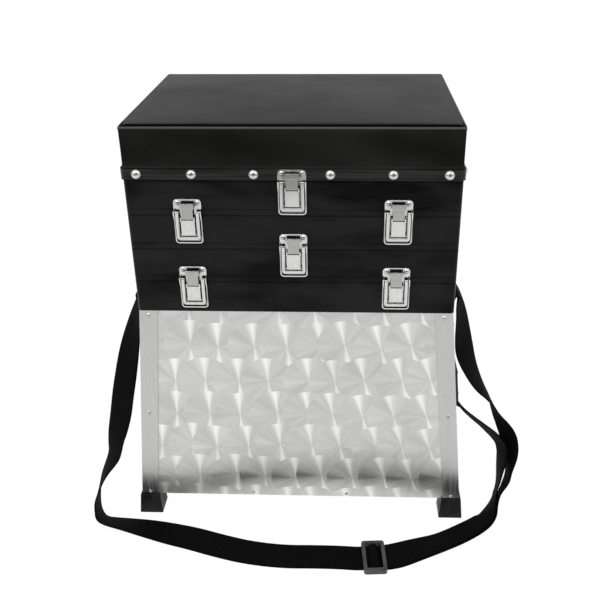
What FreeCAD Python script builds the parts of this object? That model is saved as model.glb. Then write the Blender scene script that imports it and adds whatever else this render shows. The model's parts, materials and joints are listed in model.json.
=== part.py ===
import FreeCAD, Part

import math
import os
import re

import Sketcher

# Fishing seat box: a flared metal box on four feet, a fixed collar, three hinged trays, a
# hinged padded lid, six draw latches and a shoulder strap. Millimetres. The origin is on the
# floor under the middle of the box, +X to the right, +Y to the back, +Z up.

os.makedirs("parts", exist_ok=True)
doc = FreeCAD.newDocument("fishing_seat_box")
sheet = doc.addObject("Spreadsheet::Sheet", "Sizes")

# Driving dimensions
SIZES = [
    ("tray_width", 360.0),
    ("tray_depth", 260.0),
    ("tray_height", 39.5),
    ("tray_wall", 2.5),
    ("tray_floor", 2.5),
    ("tray_corner", 5.0),
    ("seam_gap", 0.4),
    ("seam_neck_height", 1.2),
    ("seam_neck_inset", 0.8),
    ("rim_height", 6.0),
    ("rim_line_height", 0.7),
    ("rim_line_inset", 0.5),
    ("foot_height", 28.0),
    ("foot_top_wall", 1.8),
    ("foot_taper", 5.0),
    ("foot_socket_depth", 16.0),
    ("foot_fit", 0.2),
    ("panel_height", 269.0),
    ("base_flare", 25.0),
    ("metal_inset", 1.0),
    ("sheet_thickness", 1.5),
    ("profile_flange", 21.0),
    ("profile_thickness", 1.5),
    ("bottom_lift", 8.0),
    ("bottom_flange", 7.5),
    ("collar_height", 38.0),
    ("collar_skirt", 14.0),
    ("band_height", 12.5),
    ("band_thickness", 2.0),
    ("cushion_height", 47.3),
    ("cushion_crown", 1.5),
    ("cushion_draw", 0.6),
    ("cushion_edge", 2.2),
    ("cushion_corner", 2.6),
    ("cover_thickness", 1.2),
    ("stud_radius", 5.4),
    ("stud_dome", 3.2),
    ("stud_shank_radius", 1.2),
    ("stud_shank_length", 8.0),
    ("rivet_radius", 2.6),
    ("rivet_dome", 1.3),
    ("rivet_shank_radius", 1.4),
    ("fit_gap", 0.05),
    ("hinge_spread", 105.0),
    ("hinge_width", 44.0),
    ("leaf_height", 17.0),
    ("lid_leaf_height", 8.0),
    ("leaf_thickness", 1.4),
    ("knuckle_radius", 2.8),
    ("hinge_pin_radius", 1.3),
    ("hinge_gap", 0.4),
    ("latch_width", 30.0),
    ("latch_spread", 113.0),
    ("lid_latch_drop", 5.8),
    ("keeper_height", 17.9),
    ("keeper_corner", 4.0),
    ("latch_plate", 1.0),
    ("base_plate_height", 31.3),
    ("latch_rim", 1.2),
    ("latch_rim_rise", 2.2),
    ("ear_thickness", 1.2),
    ("lever_width", 26.0),
    ("lever_length", 26.9),
    ("rail_width", 3.8),
    ("lever_sheet", 0.8),
    ("bead_rise", 1.8),
    ("tongue_width", 14.8),
    ("tongue_rise", 0.8),
    ("lever_pivot_out", 4.8),
    ("lever_pivot_up", 4.6),
    ("hook_pivot_out", 5.0),
    ("hook_pivot_drop", 2.4),
    ("hook_width", 12.4),
    ("hook_plate", 1.0),
    ("hook_top", 14.9),
    ("curl_height", 6.2),
    ("lip_gap", 0.3),
    ("trunnion_radius", 0.7),
    ("webbing_width", 38.0),
    ("webbing_thickness", 1.8),
    ("return_width", 38.0),
    ("clamp_width", 40.0),
    ("clamp_play", 0.2),
    ("clamp_forward", 87.0),
    ("high_clamp_z", 267.0),
    ("high_clamp_height", 14.0),
    ("high_clamp_thickness", 1.5),
    ("low_clamp_z", 185.0),
    ("low_clamp_height", 44.0),
    ("low_clamp_thickness", 4.4),
    ("slider_length", 28.0),
    ("slider_bar", 4.3),
    ("slider_play", 1.0),
    ("slider_corner", 3.6),
    ("slider_window_corner", 1.0),
    ("slider_low", 0.6),
    ("slider_lift", 4.5),
    ("slider_thickness", 2.6),
    ("slider_rung_half", 1.8),
    ("slider_rung_height", 1.15),
    ("slider_right", 94.0),
    ("slider_forward", 207.7),
    ("slider_turn", 4.0),
]
for row, (alias, number) in enumerate(SIZES, start=1):
    sheet.set(f"A{row}", alias)
    sheet.set(f"B{row}", str(number))
    sheet.setAlias(f"B{row}", alias)
doc.recompute()

ALIASES = re.compile(r"\b(" + "|".join(alias for alias, number in SIZES) + r")\b")

# Heights and half sizes that several pieces share, as expressions of the driving dimensions
METAL_TOP = "(foot_height + panel_height)"
COLLAR_TOP = f"({METAL_TOP} + collar_height)"
METAL_HALF = "(tray_width / 2 - metal_inset)"
METAL_FRONT = "(tray_depth / 2 - metal_inset)"
PANEL_FRONT = f"({METAL_FRONT} - profile_thickness)"
PANEL_BACK = f"({PANEL_FRONT} - sheet_thickness)"
SLOPE = "(base_flare / panel_height)"
PROFILE_FOOT = "(foot_height - foot_socket_depth)"
BOTTOM_TOP = "(foot_height + bottom_lift + sheet_thickness)"
BAND_BOTTOM = f"({COLLAR_TOP} + 3 * tray_height)"
BAND_TOP = f"({BAND_BOTTOM} + band_height)"
PIVOT_OUT = "(knuckle_radius + hinge_gap)"


def named(text):
    """An expression that FreeCAD can evaluate, from one written with plain aliases."""
    return ALIASES.sub(r"Sizes.\1", str(text))


def measure(text):
    return float(sheet.evalExpression(named(text)))


def tie(thing, target, text):
    """Binds a property to an expression of the driving dimensions."""
    thing.setExpression(target, named(text))


def tie_place(thing, across="0", deep="0", high="0"):
    for letter, text in (("x", across), ("y", deep), ("z", high)):
        tie(thing, f"Placement.Base.{letter}", text)


def outer_x(height):
    """Half width of the metal box, outside its corner profiles, at a height."""
    return f"({METAL_HALF} + ({METAL_TOP} - ({height})) * {SLOPE})"


# Sketches and features

def new_body(label):
    body = doc.addObject("PartDesign::Body", label)
    body.Label = label
    return body


def sketch_on(body, name, plane, start):
    """A sketch on one of the body's own planes, moved along the plane's normal by start."""
    sketch = body.newObject("Sketcher::SketchObject", name)
    origin = [item for item in body.Origin.OriginFeatures if item.Role == plane][0]
    sketch.AttachmentSupport = [(origin, "")]
    sketch.MapMode = "FlatFace"
    tie(sketch, "AttachmentOffset.Base.z", start)
    return sketch


def limit(sketch, constraint, text):
    number = sketch.addConstraint(constraint)
    tie(sketch, f"Constraints[{number}]", text)


def draw_polygon(sketch, corners):
    points = [FreeCAD.Vector(measure(across), measure(along), 0) for across, along in corners]
    count = len(points)
    for index, point in enumerate(points):
        sketch.addGeometry(Part.LineSegment(point, points[(index + 1) % count]))
    for index in range(count):
        after = (index + 1) % count
        sketch.addConstraint(Sketcher.Constraint("Coincident", index, 2, after, 1))
    for index, (across, along) in enumerate(corners):
        reach = Sketcher.Constraint("DistanceX", -1, 1, index, 1, measure(across))
        limit(sketch, reach, across)
        rise = Sketcher.Constraint("DistanceY", -1, 1, index, 1, measure(along))
        limit(sketch, rise, along)


def draw_circle(sketch, across, along, radius):
    middle = FreeCAD.Vector(measure(across), measure(along), 0)
    sketch.addGeometry(Part.Circle(middle, FreeCAD.Vector(0, 0, 1), measure(radius)))
    limit(sketch, Sketcher.Constraint("Radius", 0, measure(radius)), radius)
    limit(sketch, Sketcher.Constraint("DistanceX", -1, 1, 0, 3, measure(across)), across)
    limit(sketch, Sketcher.Constraint("DistanceY", -1, 1, 0, 3, measure(along)), along)


def draw_rounded(sketch, width, depth, radius):
    """A rectangle with round corners, centred on the origin."""
    wide = measure(width) / 2
    deep = measure(depth) / 2
    bend = measure(radius)
    near_x = wide - bend
    near_y = deep - bend
    sides = [
        ((-near_x, deep), (near_x, deep)),
        ((wide, near_y), (wide, -near_y)),
        ((near_x, -deep), (-near_x, -deep)),
        ((-wide, -near_y), (-wide, near_y)),
    ]
    for start, end in sides:
        sketch.addGeometry(Part.LineSegment(FreeCAD.Vector(*start), FreeCAD.Vector(*end)))
    centres = [(near_x, near_y), (near_x, -near_y), (-near_x, -near_y), (-near_x, near_y)]
    for index, (x, y) in enumerate(centres):
        circle = Part.Circle(FreeCAD.Vector(x, y, 0), FreeCAD.Vector(0, 0, 1), bend)
        begin = (-index) * math.pi / 2
        sketch.addGeometry(Part.ArcOfCircle(circle, begin, begin + math.pi / 2))
    for index in range(4):
        arc = index + 4
        after = (index + 1) % 4
        sketch.addConstraint(Sketcher.Constraint("Tangent", index, 2, arc, 2))
        sketch.addConstraint(Sketcher.Constraint("Tangent", arc, 1, after, 1))
    for index in (0, 2):
        sketch.addConstraint(Sketcher.Constraint("Horizontal", index))
    for index in (1, 3):
        sketch.addConstraint(Sketcher.Constraint("Vertical", index))
    for arc in (5, 6, 7):
        sketch.addConstraint(Sketcher.Constraint("Equal", 4, arc))
    limit(sketch, Sketcher.Constraint("Radius", 4, bend), radius)
    limit(sketch, Sketcher.Constraint("DistanceX", -1, 1, 1, 1, wide), f"({width}) / 2")
    limit(sketch, Sketcher.Constraint("DistanceX", -1, 1, 3, 1, -wide), f"-({width}) / 2")
    limit(sketch, Sketcher.Constraint("DistanceY", -1, 1, 0, 1, deep), f"({depth}) / 2")
    limit(sketch, Sketcher.Constraint("DistanceY", -1, 1, 2, 1, -deep), f"-({depth}) / 2")


def pad(body, sketch, length, taper=None):
    feature = body.newObject("PartDesign::Pad", sketch.Name + "_pad")
    feature.Profile = sketch
    tie(feature, "Length", length)
    if taper:
        tie(feature, "TaperAngle", taper)
    doc.recompute()
    return feature


def pocket(body, sketch, length):
    """Cuts from the sketch along its normal, and makes sure that something was cut."""
    before = body.Shape.Volume
    feature = body.newObject("PartDesign::Pocket", sketch.Name + "_pocket")
    feature.Profile = sketch
    feature.Reversed = True
    tie(feature, "Length", length)
    doc.recompute()
    if body.Shape.Volume >= before:
        raise RuntimeError(f"{feature.Name} cut nothing")
    return feature


def polygon_pad(body, name, plane, start, length, corners):
    sketch = sketch_on(body, name, plane, start)
    draw_polygon(sketch, corners)
    return pad(body, sketch, length)


def polygon_cut(body, name, plane, start, length, corners):
    sketch = sketch_on(body, name, plane, start)
    draw_polygon(sketch, corners)
    return pocket(body, sketch, length)


def circle_pad(body, name, plane, start, length, across, along, radius):
    sketch = sketch_on(body, name, plane, start)
    draw_circle(sketch, across, along, radius)
    return pad(body, sketch, length)


def circle_cut(body, name, plane, start, length, across, along, radius):
    sketch = sketch_on(body, name, plane, start)
    draw_circle(sketch, across, along, radius)
    return pocket(body, sketch, length)


def rounded_pad(body, name, start, length, width, depth, radius):
    sketch = sketch_on(body, name, "XY_Plane", start)
    draw_rounded(sketch, width, depth, radius)
    return pad(body, sketch, length)


def rounded_cut(body, name, start, length, width, depth, radius):
    sketch = sketch_on(body, name, "XY_Plane", start)
    draw_rounded(sketch, width, depth, radius)
    return pocket(body, sketch, length)


def rectangle(left, low, right, high):
    """Corners of an upright rectangle, for draw_polygon."""
    return [(left, low), (right, low), (right, high), (left, high)]


def round_edges(body, name, radius, wanted):
    """A fillet over the tip's edges that wanted() picks."""
    tip = body.Tip
    picked = [
        f"Edge{number}"
        for number, edge in enumerate(tip.Shape.Edges, start=1)
        if wanted(edge)
    ]
    feature = body.newObject("PartDesign::Fillet", name)
    feature.Base = (tip, picked)
    tie(feature, "Radius", radius)
    doc.recompute()
    return feature


def runs_along(edge, axis):
    """Whether an edge is a straight line along an axis, 0 for X, 1 for Y and 2 for Z."""
    if not isinstance(edge.Curve, Part.Line):
        return False
    return abs(edge.Curve.Direction[axis]) > 1 - 1e-6


def gather(label, members):
    """Several separate solids that share one node."""
    group = doc.addObject("Part::Compound", label)
    group.Label = label
    group.Links = members
    doc.recompute()
    return group


def drill(piece, holes, label):
    """The piece with the holes of its rivets cut out of it."""
    result = doc.addObject("Part::Cut", label)
    result.Base = piece
    result.Tool = holes
    result.Label = label
    doc.recompute()
    return result


def shape_feature(label, shape):
    feature = doc.addObject("Part::Feature", label)
    feature.Label = label
    feature.Shape = shape
    return feature


# Rivets, studs and their holes

def dome_fastener(radius, dome, shank_radius, grip):
    """A domed head on z = 0 with its shank below it, turned about Z."""
    ball = (radius * radius + dome * dome) / (2 * dome)
    half_angle = math.asin(radius / ball)
    shoulder = FreeCAD.Vector(radius, 0, 0)
    crown = FreeCAD.Vector(0, 0, dome)
    sine = math.sin(half_angle / 2)
    cosine = math.cos(half_angle / 2)
    middle = FreeCAD.Vector(ball * sine, 0, dome - ball + ball * cosine)
    arc = Part.Arc(shoulder, middle, crown).toShape()
    corners = [
        crown,
        FreeCAD.Vector(0, 0, -grip),
        FreeCAD.Vector(shank_radius, 0, -grip),
        FreeCAD.Vector(shank_radius, 0, 0),
        shoulder,
    ]
    lines = [Part.makeLine(one, other) for one, other in zip(corners, corners[1:])]
    face = Part.Face(Part.Wire(lines + [arc]))
    return face.revolve(FreeCAD.Vector(), FreeCAD.Vector(0, 0, 1), 360)


def placed(shape, point, direction):
    """A copy of a shape made along +Z, moved to a point and turned to a direction."""
    turn = FreeCAD.Rotation(FreeCAD.Vector(0, 0, 1), FreeCAD.Vector(*direction))
    copy = shape.copy()
    copy.Placement = FreeCAD.Placement(FreeCAD.Vector(*point), turn)
    return copy


def rivet_group(label, places):
    """Rivets at places of (point, direction, grip): the head sits on the point."""
    sizes = [measure(name) for name in ("rivet_radius", "rivet_dome", "rivet_shank_radius")]
    solids = [placed(dome_fastener(*sizes, grip), spot, way) for spot, way, grip in places]
    return shape_feature(label, Part.makeCompound(solids))


def hole_group(label, places, radius):
    """Round tools a little wider than the shanks, past both ends of their grip."""
    past = measure("sheet_thickness")
    bore = measure(radius) + measure("fit_gap")
    solids = []
    for spot, way, grip in places:
        tool = Part.makeCylinder(bore, grip + 2 * past, FreeCAD.Vector(0, 0, -grip - past))
        solids.append(placed(tool, spot, way))
    return shape_feature(label, Part.makeCompound(solids))


FORWARD = (0, -1, 0)
BACKWARD = (0, 1, 0)

# Rivet places in the row frame

front_y = -measure("tray_depth / 2")
metal_front = measure(METAL_FRONT)
metal_top = measure(METAL_TOP)
lean = math.atan(measure(SLOPE))
profile_grip = measure("profile_thickness + sheet_thickness")


def half_width(height):
    return measure(outer_x(str(height)))


def profile_rivet_places():
    """Down the front and back flanges of the corner profiles, on their middle line."""
    middle = measure("profile_flange / 2")
    heights = [
        metal_top - measure("collar_skirt / 2"),
        measure("foot_height + panel_height * 0.47"),
        measure("foot_height + bottom_flange / 2"),
    ]
    places = []
    for side in (-1, 1):
        for height in heights:
            x = side * (half_width(height) - middle)
            skirted = height > metal_top - measure("collar_skirt")
            low = height < measure("foot_height + bottom_flange")
            extra = measure("tray_wall") if skirted else 0
            extra = measure("sheet_thickness") if low else extra
            places.append(((x, -metal_front, height), FORWARD, profile_grip + extra))
            places.append(((x, metal_front, height), BACKWARD, profile_grip + extra))
    return places


def bottom_rivet_places():
    """Through the front and rear panels into the flanges of the bottom panel."""
    height = measure("foot_height + bottom_flange / 2")
    panel = measure(PANEL_FRONT)
    grip = measure("2 * sheet_thickness")
    spread = measure("tray_width / 6")
    places = []
    for x in (-spread, spread):
        places.append(((x, -panel, height), FORWARD, grip))
        places.append(((x, panel, height), BACKWARD, grip))
    return places


CLAMPS = [
    ("strap_clamp_left", -1, "high_clamp_z", "high_clamp_height", "high_clamp_thickness"),
    ("strap_clamp_right", 1, "high_clamp_z", "high_clamp_height", "high_clamp_thickness"),
    ("strap_bracket_right", 1, "low_clamp_z", "low_clamp_height", "low_clamp_thickness"),
]


def clamp_rivet_places():
    """Two in each webbing clamp, four in the tall one, square to the side panel's slope."""
    reach = measure("clamp_width / 3")
    forward = measure("clamp_forward")
    places = []
    for label, side, height, tall, thick in CLAMPS:
        stack = measure(f"webbing_thickness + clamp_play + {thick}")
        grip = stack + measure("sheet_thickness")
        middle_x = half_width(measure(height)) - measure("profile_thickness")
        rise = measure(f"{tall} / 2 - 7")
        for lift in ([-rise, rise] if rise > 0 else [0]):
            x = side * (middle_x + stack * math.cos(lean) - lift * math.sin(lean))
            z = measure(height) + stack * math.sin(lean) + lift * math.cos(lean)
            for y in (-forward - reach, -forward + reach):
                places.append(((x, y, z), (side * math.cos(lean), 0, math.sin(lean)), grip))
    return places


# Metal box

base_places = profile_rivet_places() + bottom_rivet_places()
base_holes = hole_group("base_holes", base_places, "rivet_shank_radius")
clamp_holes = hole_group("clamp_holes", clamp_rivet_places(), "rivet_shank_radius")


def flared(inset, low, high):
    """Front outline of a panel that is as wide as the metal box less an inset each side."""
    return [
        (f"-({outer_x(low)} - ({inset}))", low),
        (f"{outer_x(low)} - ({inset})", low),
        (f"{outer_x(high)} - ({inset})", high),
        (f"-({outer_x(high)} - ({inset}))", high),
    ]


def make_end_panel(label, start):
    body = new_body(label + "_sheet")
    outline = flared("profile_thickness", "foot_height", METAL_TOP)
    polygon_pad(body, label + "_outline", "XZ_Plane", start, "sheet_thickness", outline)
    return drill(body, base_holes, label)


def slanted(side, outer, inner, low, high):
    """Outline, seen from the front, of a strip between two insets from the metal outside."""
    sign = "-" if side < 0 else ""
    return [
        (f"{sign}({outer_x(low)} - ({inner}))", low),
        (f"{sign}({outer_x(low)} - ({outer}))", low),
        (f"{sign}({outer_x(high)} - ({outer}))", high),
        (f"{sign}({outer_x(high)} - ({inner}))", high),
    ]


def make_side_panel(label, side):
    body = new_body(label + "_sheet")
    outline = slanted(
        side,
        "profile_thickness",
        "profile_thickness + sheet_thickness",
        "foot_height",
        METAL_TOP,
    )
    polygon_pad(body, label + "_outline", "XZ_Plane", f"-{PANEL_BACK}", f"2 * {PANEL_BACK}", outline)
    return drill(body, clamp_holes, label)


def make_profile(label, side, end):
    """An angle along a sloping corner: end is -1 at the front and 1 at the back."""
    body = new_body(label + "_angle")
    front = slanted(side, "0", "profile_flange", PROFILE_FOOT, METAL_TOP)
    edge = slanted(side, "0", "profile_thickness", PROFILE_FOOT, METAL_TOP)
    front_start = PANEL_FRONT if end < 0 else f"-{METAL_FRONT}"
    side_start = f"{METAL_FRONT} - profile_flange" if end < 0 else f"-{METAL_FRONT}"
    polygon_pad(body, label + "_face", "XZ_Plane", front_start, "profile_thickness", front)
    polygon_pad(body, label + "_side", "XZ_Plane", side_start, "profile_flange", edge)
    return drill(body, base_holes, label)


def make_foot(label, side, end):
    """A tapered square cap with a socket for the end of its corner profile."""
    body = new_body(label)
    top = "(profile_flange + 2 * foot_fit + 2 * foot_top_wall)"
    spread = "(foot_height * tan(foot_taper))"
    bottom = f"({top} + 2 * {spread})"
    middle_x = f"({outer_x('foot_height')} - profile_flange / 2)"
    middle_y = f"({METAL_FRONT} - profile_flange / 2)"
    x_sign = "-" if side < 0 else ""
    y_sign = "-" if end < 0 else ""
    sketch = sketch_on(body, label + "_plan", "XY_Plane", "0")
    outline = rectangle(
        f"{x_sign}{middle_x} - {bottom} / 2",
        f"{y_sign}{middle_y} - {bottom} / 2",
        f"{x_sign}{middle_x} + {bottom} / 2",
        f"{y_sign}{middle_y} + {bottom} / 2",
    )
    draw_polygon(sketch, outline)
    pad(body, sketch, "foot_height", taper="-foot_taper")
    socket = slanted(side, "-foot_fit", "profile_flange + foot_fit", PROFILE_FOOT, "foot_height + 1")
    near = f"{METAL_FRONT} - profile_flange - foot_fit"
    start = near if end < 0 else f"-({METAL_FRONT} + foot_fit)"
    polygon_cut(body, label + "_socket", "XZ_Plane", start, "profile_flange + 2 * foot_fit", socket)
    return body


def make_bottom_panel():
    body = new_body("bottom_panel_sheet")
    low = "(foot_height + bottom_lift)"
    inset = "profile_thickness + sheet_thickness"
    floor = flared(inset, low, f"{low} + sheet_thickness")
    polygon_pad(body, "bottom_floor", "XZ_Plane", f"-{PANEL_BACK}", f"2 * {PANEL_BACK}", floor)
    flange = flared(inset, f"{low} - bottom_flange", low)
    front = f"{PANEL_BACK} - sheet_thickness"
    polygon_pad(body, "bottom_front", "XZ_Plane", front, "sheet_thickness", flange)
    polygon_pad(body, "bottom_rear", "XZ_Plane", f"-{PANEL_BACK}", "sheet_thickness", flange)
    return drill(body, base_holes, "bottom_panel")


ENDS = [("front", -1), ("rear", 1)]
SIDES = [("left", -1), ("right", 1)]

nodes = []
nodes.append(make_end_panel("front_panel", PANEL_BACK))
nodes.append(make_end_panel("rear_panel", f"-{PANEL_FRONT}"))
nodes.append(make_side_panel("left_panel", -1))
nodes.append(make_side_panel("right_panel", 1))
nodes.append(make_bottom_panel())
for end_name, end in ENDS:
    for side_name, side in SIDES:
        nodes.append(make_profile(f"corner_profile_{end_name}_{side_name}", side, end))
        nodes.append(make_foot(f"foot_{end_name}_{side_name}", side, end))


# Draw latches, drawn about the seam they close: X across, -Y out of the wall, Z up

LEVER_BACK = "(lever_pivot_out - lever_sheet)"
BEAD_FRONT = "(lever_pivot_out + bead_rise)"
LIP_BOTTOM = "(hook_top - hook_plate)"
LEDGE_FRONT = "(hook_pivot_out + 0.2 - lip_gap)"
HOOK_BACK = "(hook_pivot_out + 0.2)"
HOOK_LOW = "-hook_pivot_drop"
LID_STEP = "band_thickness"
PLATE_TOP = "-seam_gap"
PLATE_LOW = "(-seam_gap - base_plate_height)"


def side_outline(points):
    """Corners for the side view, from pairs of how far out and how high."""
    return [(f"-({out})", up) for out, up in points]


def make_keeper(label, seat):
    """The upper plate with its ledge; seat is how far in front of the tray wall it lies."""
    body = new_body(label)
    half = "latch_width / 2"
    low = "seam_gap"
    high = "(seam_gap + keeper_height)"
    plate = rectangle(f"-{half}", low, half, high)
    polygon_pad(body, label + "_plate", "XZ_Plane", seat, "latch_plate", plate)
    top = measure(high)

    def at_top(edge):
        return runs_along(edge, 1) and edge.CenterOfMass.z > top - 1e-6

    round_edges(body, label + "_corners", "keeper_corner", at_top)
    wide = "(hook_width / 2 + 0.8)"
    ledge_top = f"({LIP_BOTTOM} - lip_gap)"
    ledge = rectangle(f"-{wide}", f"{ledge_top} - 4", wide, ledge_top)
    rise = f"{LEDGE_FRONT} - ({seat}) - latch_plate"
    polygon_pad(body, label + "_ledge", "XZ_Plane", f"{seat} + latch_plate", rise, ledge)
    return body


def make_latch_plate(label):
    """The base plate with its raised rim and the two ears that carry the lever."""
    body = new_body(label)
    half = "latch_width / 2"
    plate = rectangle(f"-{half}", PLATE_LOW, half, PLATE_TOP)
    polygon_pad(body, label + "_plate", "XZ_Plane", "0", "latch_plate", plate)
    rim_low = [
        (f"-{half}", PLATE_LOW),
        (half, PLATE_LOW),
        (half, f"{PLATE_TOP} - 2"),
        (f"{half} - latch_rim", f"{PLATE_TOP} - 2"),
        (f"{half} - latch_rim", f"{PLATE_LOW} + latch_rim"),
        (f"-({half} - latch_rim)", f"{PLATE_LOW} + latch_rim"),
        (f"-({half} - latch_rim)", f"{PLATE_TOP} - 2"),
        (f"-{half}", f"{PLATE_TOP} - 2"),
    ]
    polygon_pad(body, label + "_rim", "XZ_Plane", "latch_plate", "latch_rim_rise", rim_low)
    bottom = measure(PLATE_LOW)
    edge_x = measure(half)
    rim = measure("latch_rim")

    def corner_at(inset):
        def wanted(edge):
            centre = edge.CenterOfMass
            beside = abs(abs(centre.x) - edge_x + inset) < 1e-6
            return runs_along(edge, 1) and beside and abs(centre.z - bottom - inset) < 1e-6

        return wanted

    round_edges(body, label + "_corners", "keeper_corner", corner_at(0))
    round_edges(body, label + "_inner_corners", "keeper_corner - latch_rim", corner_at(rim))
    clear = "(band_thickness + latch_plate + lip_gap)"
    front = "(lever_pivot_out + trunnion_radius + 0.7)"
    top = "(lever_pivot_up + trunnion_radius + 0.9)"
    ear = side_outline([
        ("latch_plate / 2", "-6"),
        ("latch_plate + 2", "-6"),
        (front, "lever_pivot_up - 3"),
        (front, top),
        (clear, top),
        (clear, PLATE_TOP),
        ("latch_plate / 2", PLATE_TOP),
    ])
    for name, start in (("left", f"-{half}"), ("right", f"{half} - ear_thickness")):
        polygon_pad(body, f"{label}_ear_{name}", "YZ_Plane", start, "ear_thickness", ear)
    hole = "trunnion_radius + fit_gap"
    circle_cut(
        body,
        label + "_holes",
        "YZ_Plane",
        "-latch_width",
        "2 * latch_width",
        "-lever_pivot_out",
        "lever_pivot_up",
        hole,
    )
    return body


def make_lever(label):
    """A sheet with a raised bead on three sides and a raised tongue, on two trunnions."""
    body = new_body(label)
    half = "lever_width / 2"
    inner = f"({half} - rail_width)"
    low = "-lever_length"
    bead = [
        (f"-{half}", low),
        (half, low),
        (half, "lever_pivot_up"),
        (inner, "lever_pivot_up"),
        (inner, f"{low} + rail_width"),
        (f"-{inner}", f"{low} + rail_width"),
        (f"-{inner}", "lever_pivot_up"),
        (f"-{half}", "lever_pivot_up"),
    ]
    thick = "lever_sheet + bead_rise"
    polygon_pad(body, label + "_bead", "XZ_Plane", LEVER_BACK, thick, bead)
    bottom = measure(low)
    edge_x = measure(half)

    def outer_corner(edge):
        centre = edge.CenterOfMass
        outer = abs(centre.x) > edge_x - 1e-6
        return runs_along(edge, 1) and outer and centre.z < bottom + 1e-6

    round_edges(body, label + "_corners", "rail_width", outer_corner)
    face_y = -measure(BEAD_FRONT)

    def on_front(edge):
        box = edge.BoundBox
        flat = box.YMax - box.YMin < 1e-6 and abs(box.YMin - face_y) < 1e-6
        return flat and not (runs_along(edge, 0) and box.ZMin > 0)

    round_edges(body, label + "_round", "bead_rise * 0.55", on_front)
    tongue_top = f"({HOOK_LOW} - 1.9)"
    tongue_low = f"({low} + rail_width + 1.7)"
    sheet_outline = rectangle(f"-({inner} + 0.5)", f"{low} + 1", f"{inner} + 0.5", tongue_top)
    polygon_pad(body, label + "_web", "XZ_Plane", LEVER_BACK, "lever_sheet", sheet_outline)
    tongue = rectangle("-tongue_width / 2", tongue_low, "tongue_width / 2", tongue_top)
    raised = f"{LEVER_BACK} + lever_sheet"
    polygon_pad(body, label + "_tongue", "XZ_Plane", raised, "tongue_rise", tongue)
    for name, sign in (("left", "-"), ("right", "")):
        slot_near = f"{sign}(tongue_width / 2 + 0.2)"
        slot_far = f"{sign}({inner} - 0.3)"
        ends = (slot_far, slot_near) if sign else (slot_near, slot_far)
        slot = rectangle(ends[0], f"{tongue_low} + 1.5", ends[1], f"{tongue_top} - 1.2")
        polygon_cut(body, f"{label}_slot_{name}", "XZ_Plane", LEVER_BACK, "lever_sheet", slot)
    lug_near = "(hook_width / 2 + 0.4)"
    lug = side_outline([
        (LEVER_BACK, f"{tongue_top} - 1"),
        (f"{LEVER_BACK} + 2.2", f"{tongue_top} - 1"),
        (f"{LEVER_BACK} + 2.2", f"{HOOK_LOW} + 1.4"),
        (LEVER_BACK, f"{HOOK_LOW} + 1.4"),
    ])
    for name, start in (("left", f"-{lug_near} - ear_thickness"), ("right", lug_near)):
        polygon_pad(body, f"{label}_lug_{name}", "YZ_Plane", start, "ear_thickness", lug)
    reach = f"({lug_near} + ear_thickness)"
    circle_cut(
        body,
        label + "_lug_holes",
        "YZ_Plane",
        f"-{reach}",
        f"2 * {reach}",
        "-hook_pivot_out",
        HOOK_LOW,
        "trunnion_radius - 0.1 + fit_gap",
    )
    barrel = "(trunnion_radius + 0.5)"
    for name, start in (("left", f"-{half}"), ("right", inner)):
        circle_pad(
            body,
            f"{label}_barrel_{name}",
            "YZ_Plane",
            start,
            "rail_width",
            "-lever_pivot_out",
            "lever_pivot_up",
            barrel,
        )
    pin = f"(latch_width / 2 - {half})"
    for name, start in (("left", "-latch_width / 2"), ("right", half)):
        circle_pad(
            body,
            f"{label}_trunnion_{name}",
            "YZ_Plane",
            start,
            pin,
            "-lever_pivot_out",
            "lever_pivot_up",
            "trunnion_radius",
        )
    return body


def make_hook(label):
    """A strap from its trunnions on the lever up to a rolled end over the keeper's ledge."""
    body = new_body(label)
    half = "hook_width / 2"
    strap = rectangle(f"-{half}", HOOK_LOW, half, "hook_top")
    polygon_pad(body, label + "_strap", "XZ_Plane", HOOK_BACK, "hook_plate", strap)
    wide = f"({half} + 1.2)"
    curl = rectangle(f"-{wide}", "hook_top - curl_height", wide, "hook_top")
    polygon_pad(body, label + "_curl", "XZ_Plane", HOOK_BACK, "hook_plate + 0.3", curl)
    lip_start = "(band_thickness + latch_plate + lip_gap)"
    lip = rectangle(f"-{wide}", LIP_BOTTOM, wide, "hook_top")
    polygon_pad(body, label + "_lip", "XZ_Plane", lip_start, f"{HOOK_BACK} - {lip_start}", lip)
    front_y = -measure(f"{HOOK_BACK} + hook_plate + 0.3")
    top = measure("hook_top")

    def front_top(edge):
        centre = edge.CenterOfMass
        high = abs(centre.z - top) < 1e-6
        return runs_along(edge, 0) and high and abs(centre.y - front_y) < 1e-6

    round_edges(body, label + "_roll", "hook_plate * 0.8", front_top)
    circle_pad(
        body,
        label + "_barrel",
        "YZ_Plane",
        f"-{half}",
        "hook_width",
        "-hook_pivot_out",
        HOOK_LOW,
        "1.2",
    )
    reach = f"({half} + 0.4 + ear_thickness)"
    circle_pad(
        body,
        label + "_trunnions",
        "YZ_Plane",
        f"-{reach}",
        f"2 * {reach}",
        "-hook_pivot_out",
        HOOK_LOW,
        "trunnion_radius - 0.1",
    )
    return body


def seat_latch_piece(body, across, seam, drop):
    tie_place(body, across, "-tray_depth / 2", f"{seam} - ({drop})")


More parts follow.
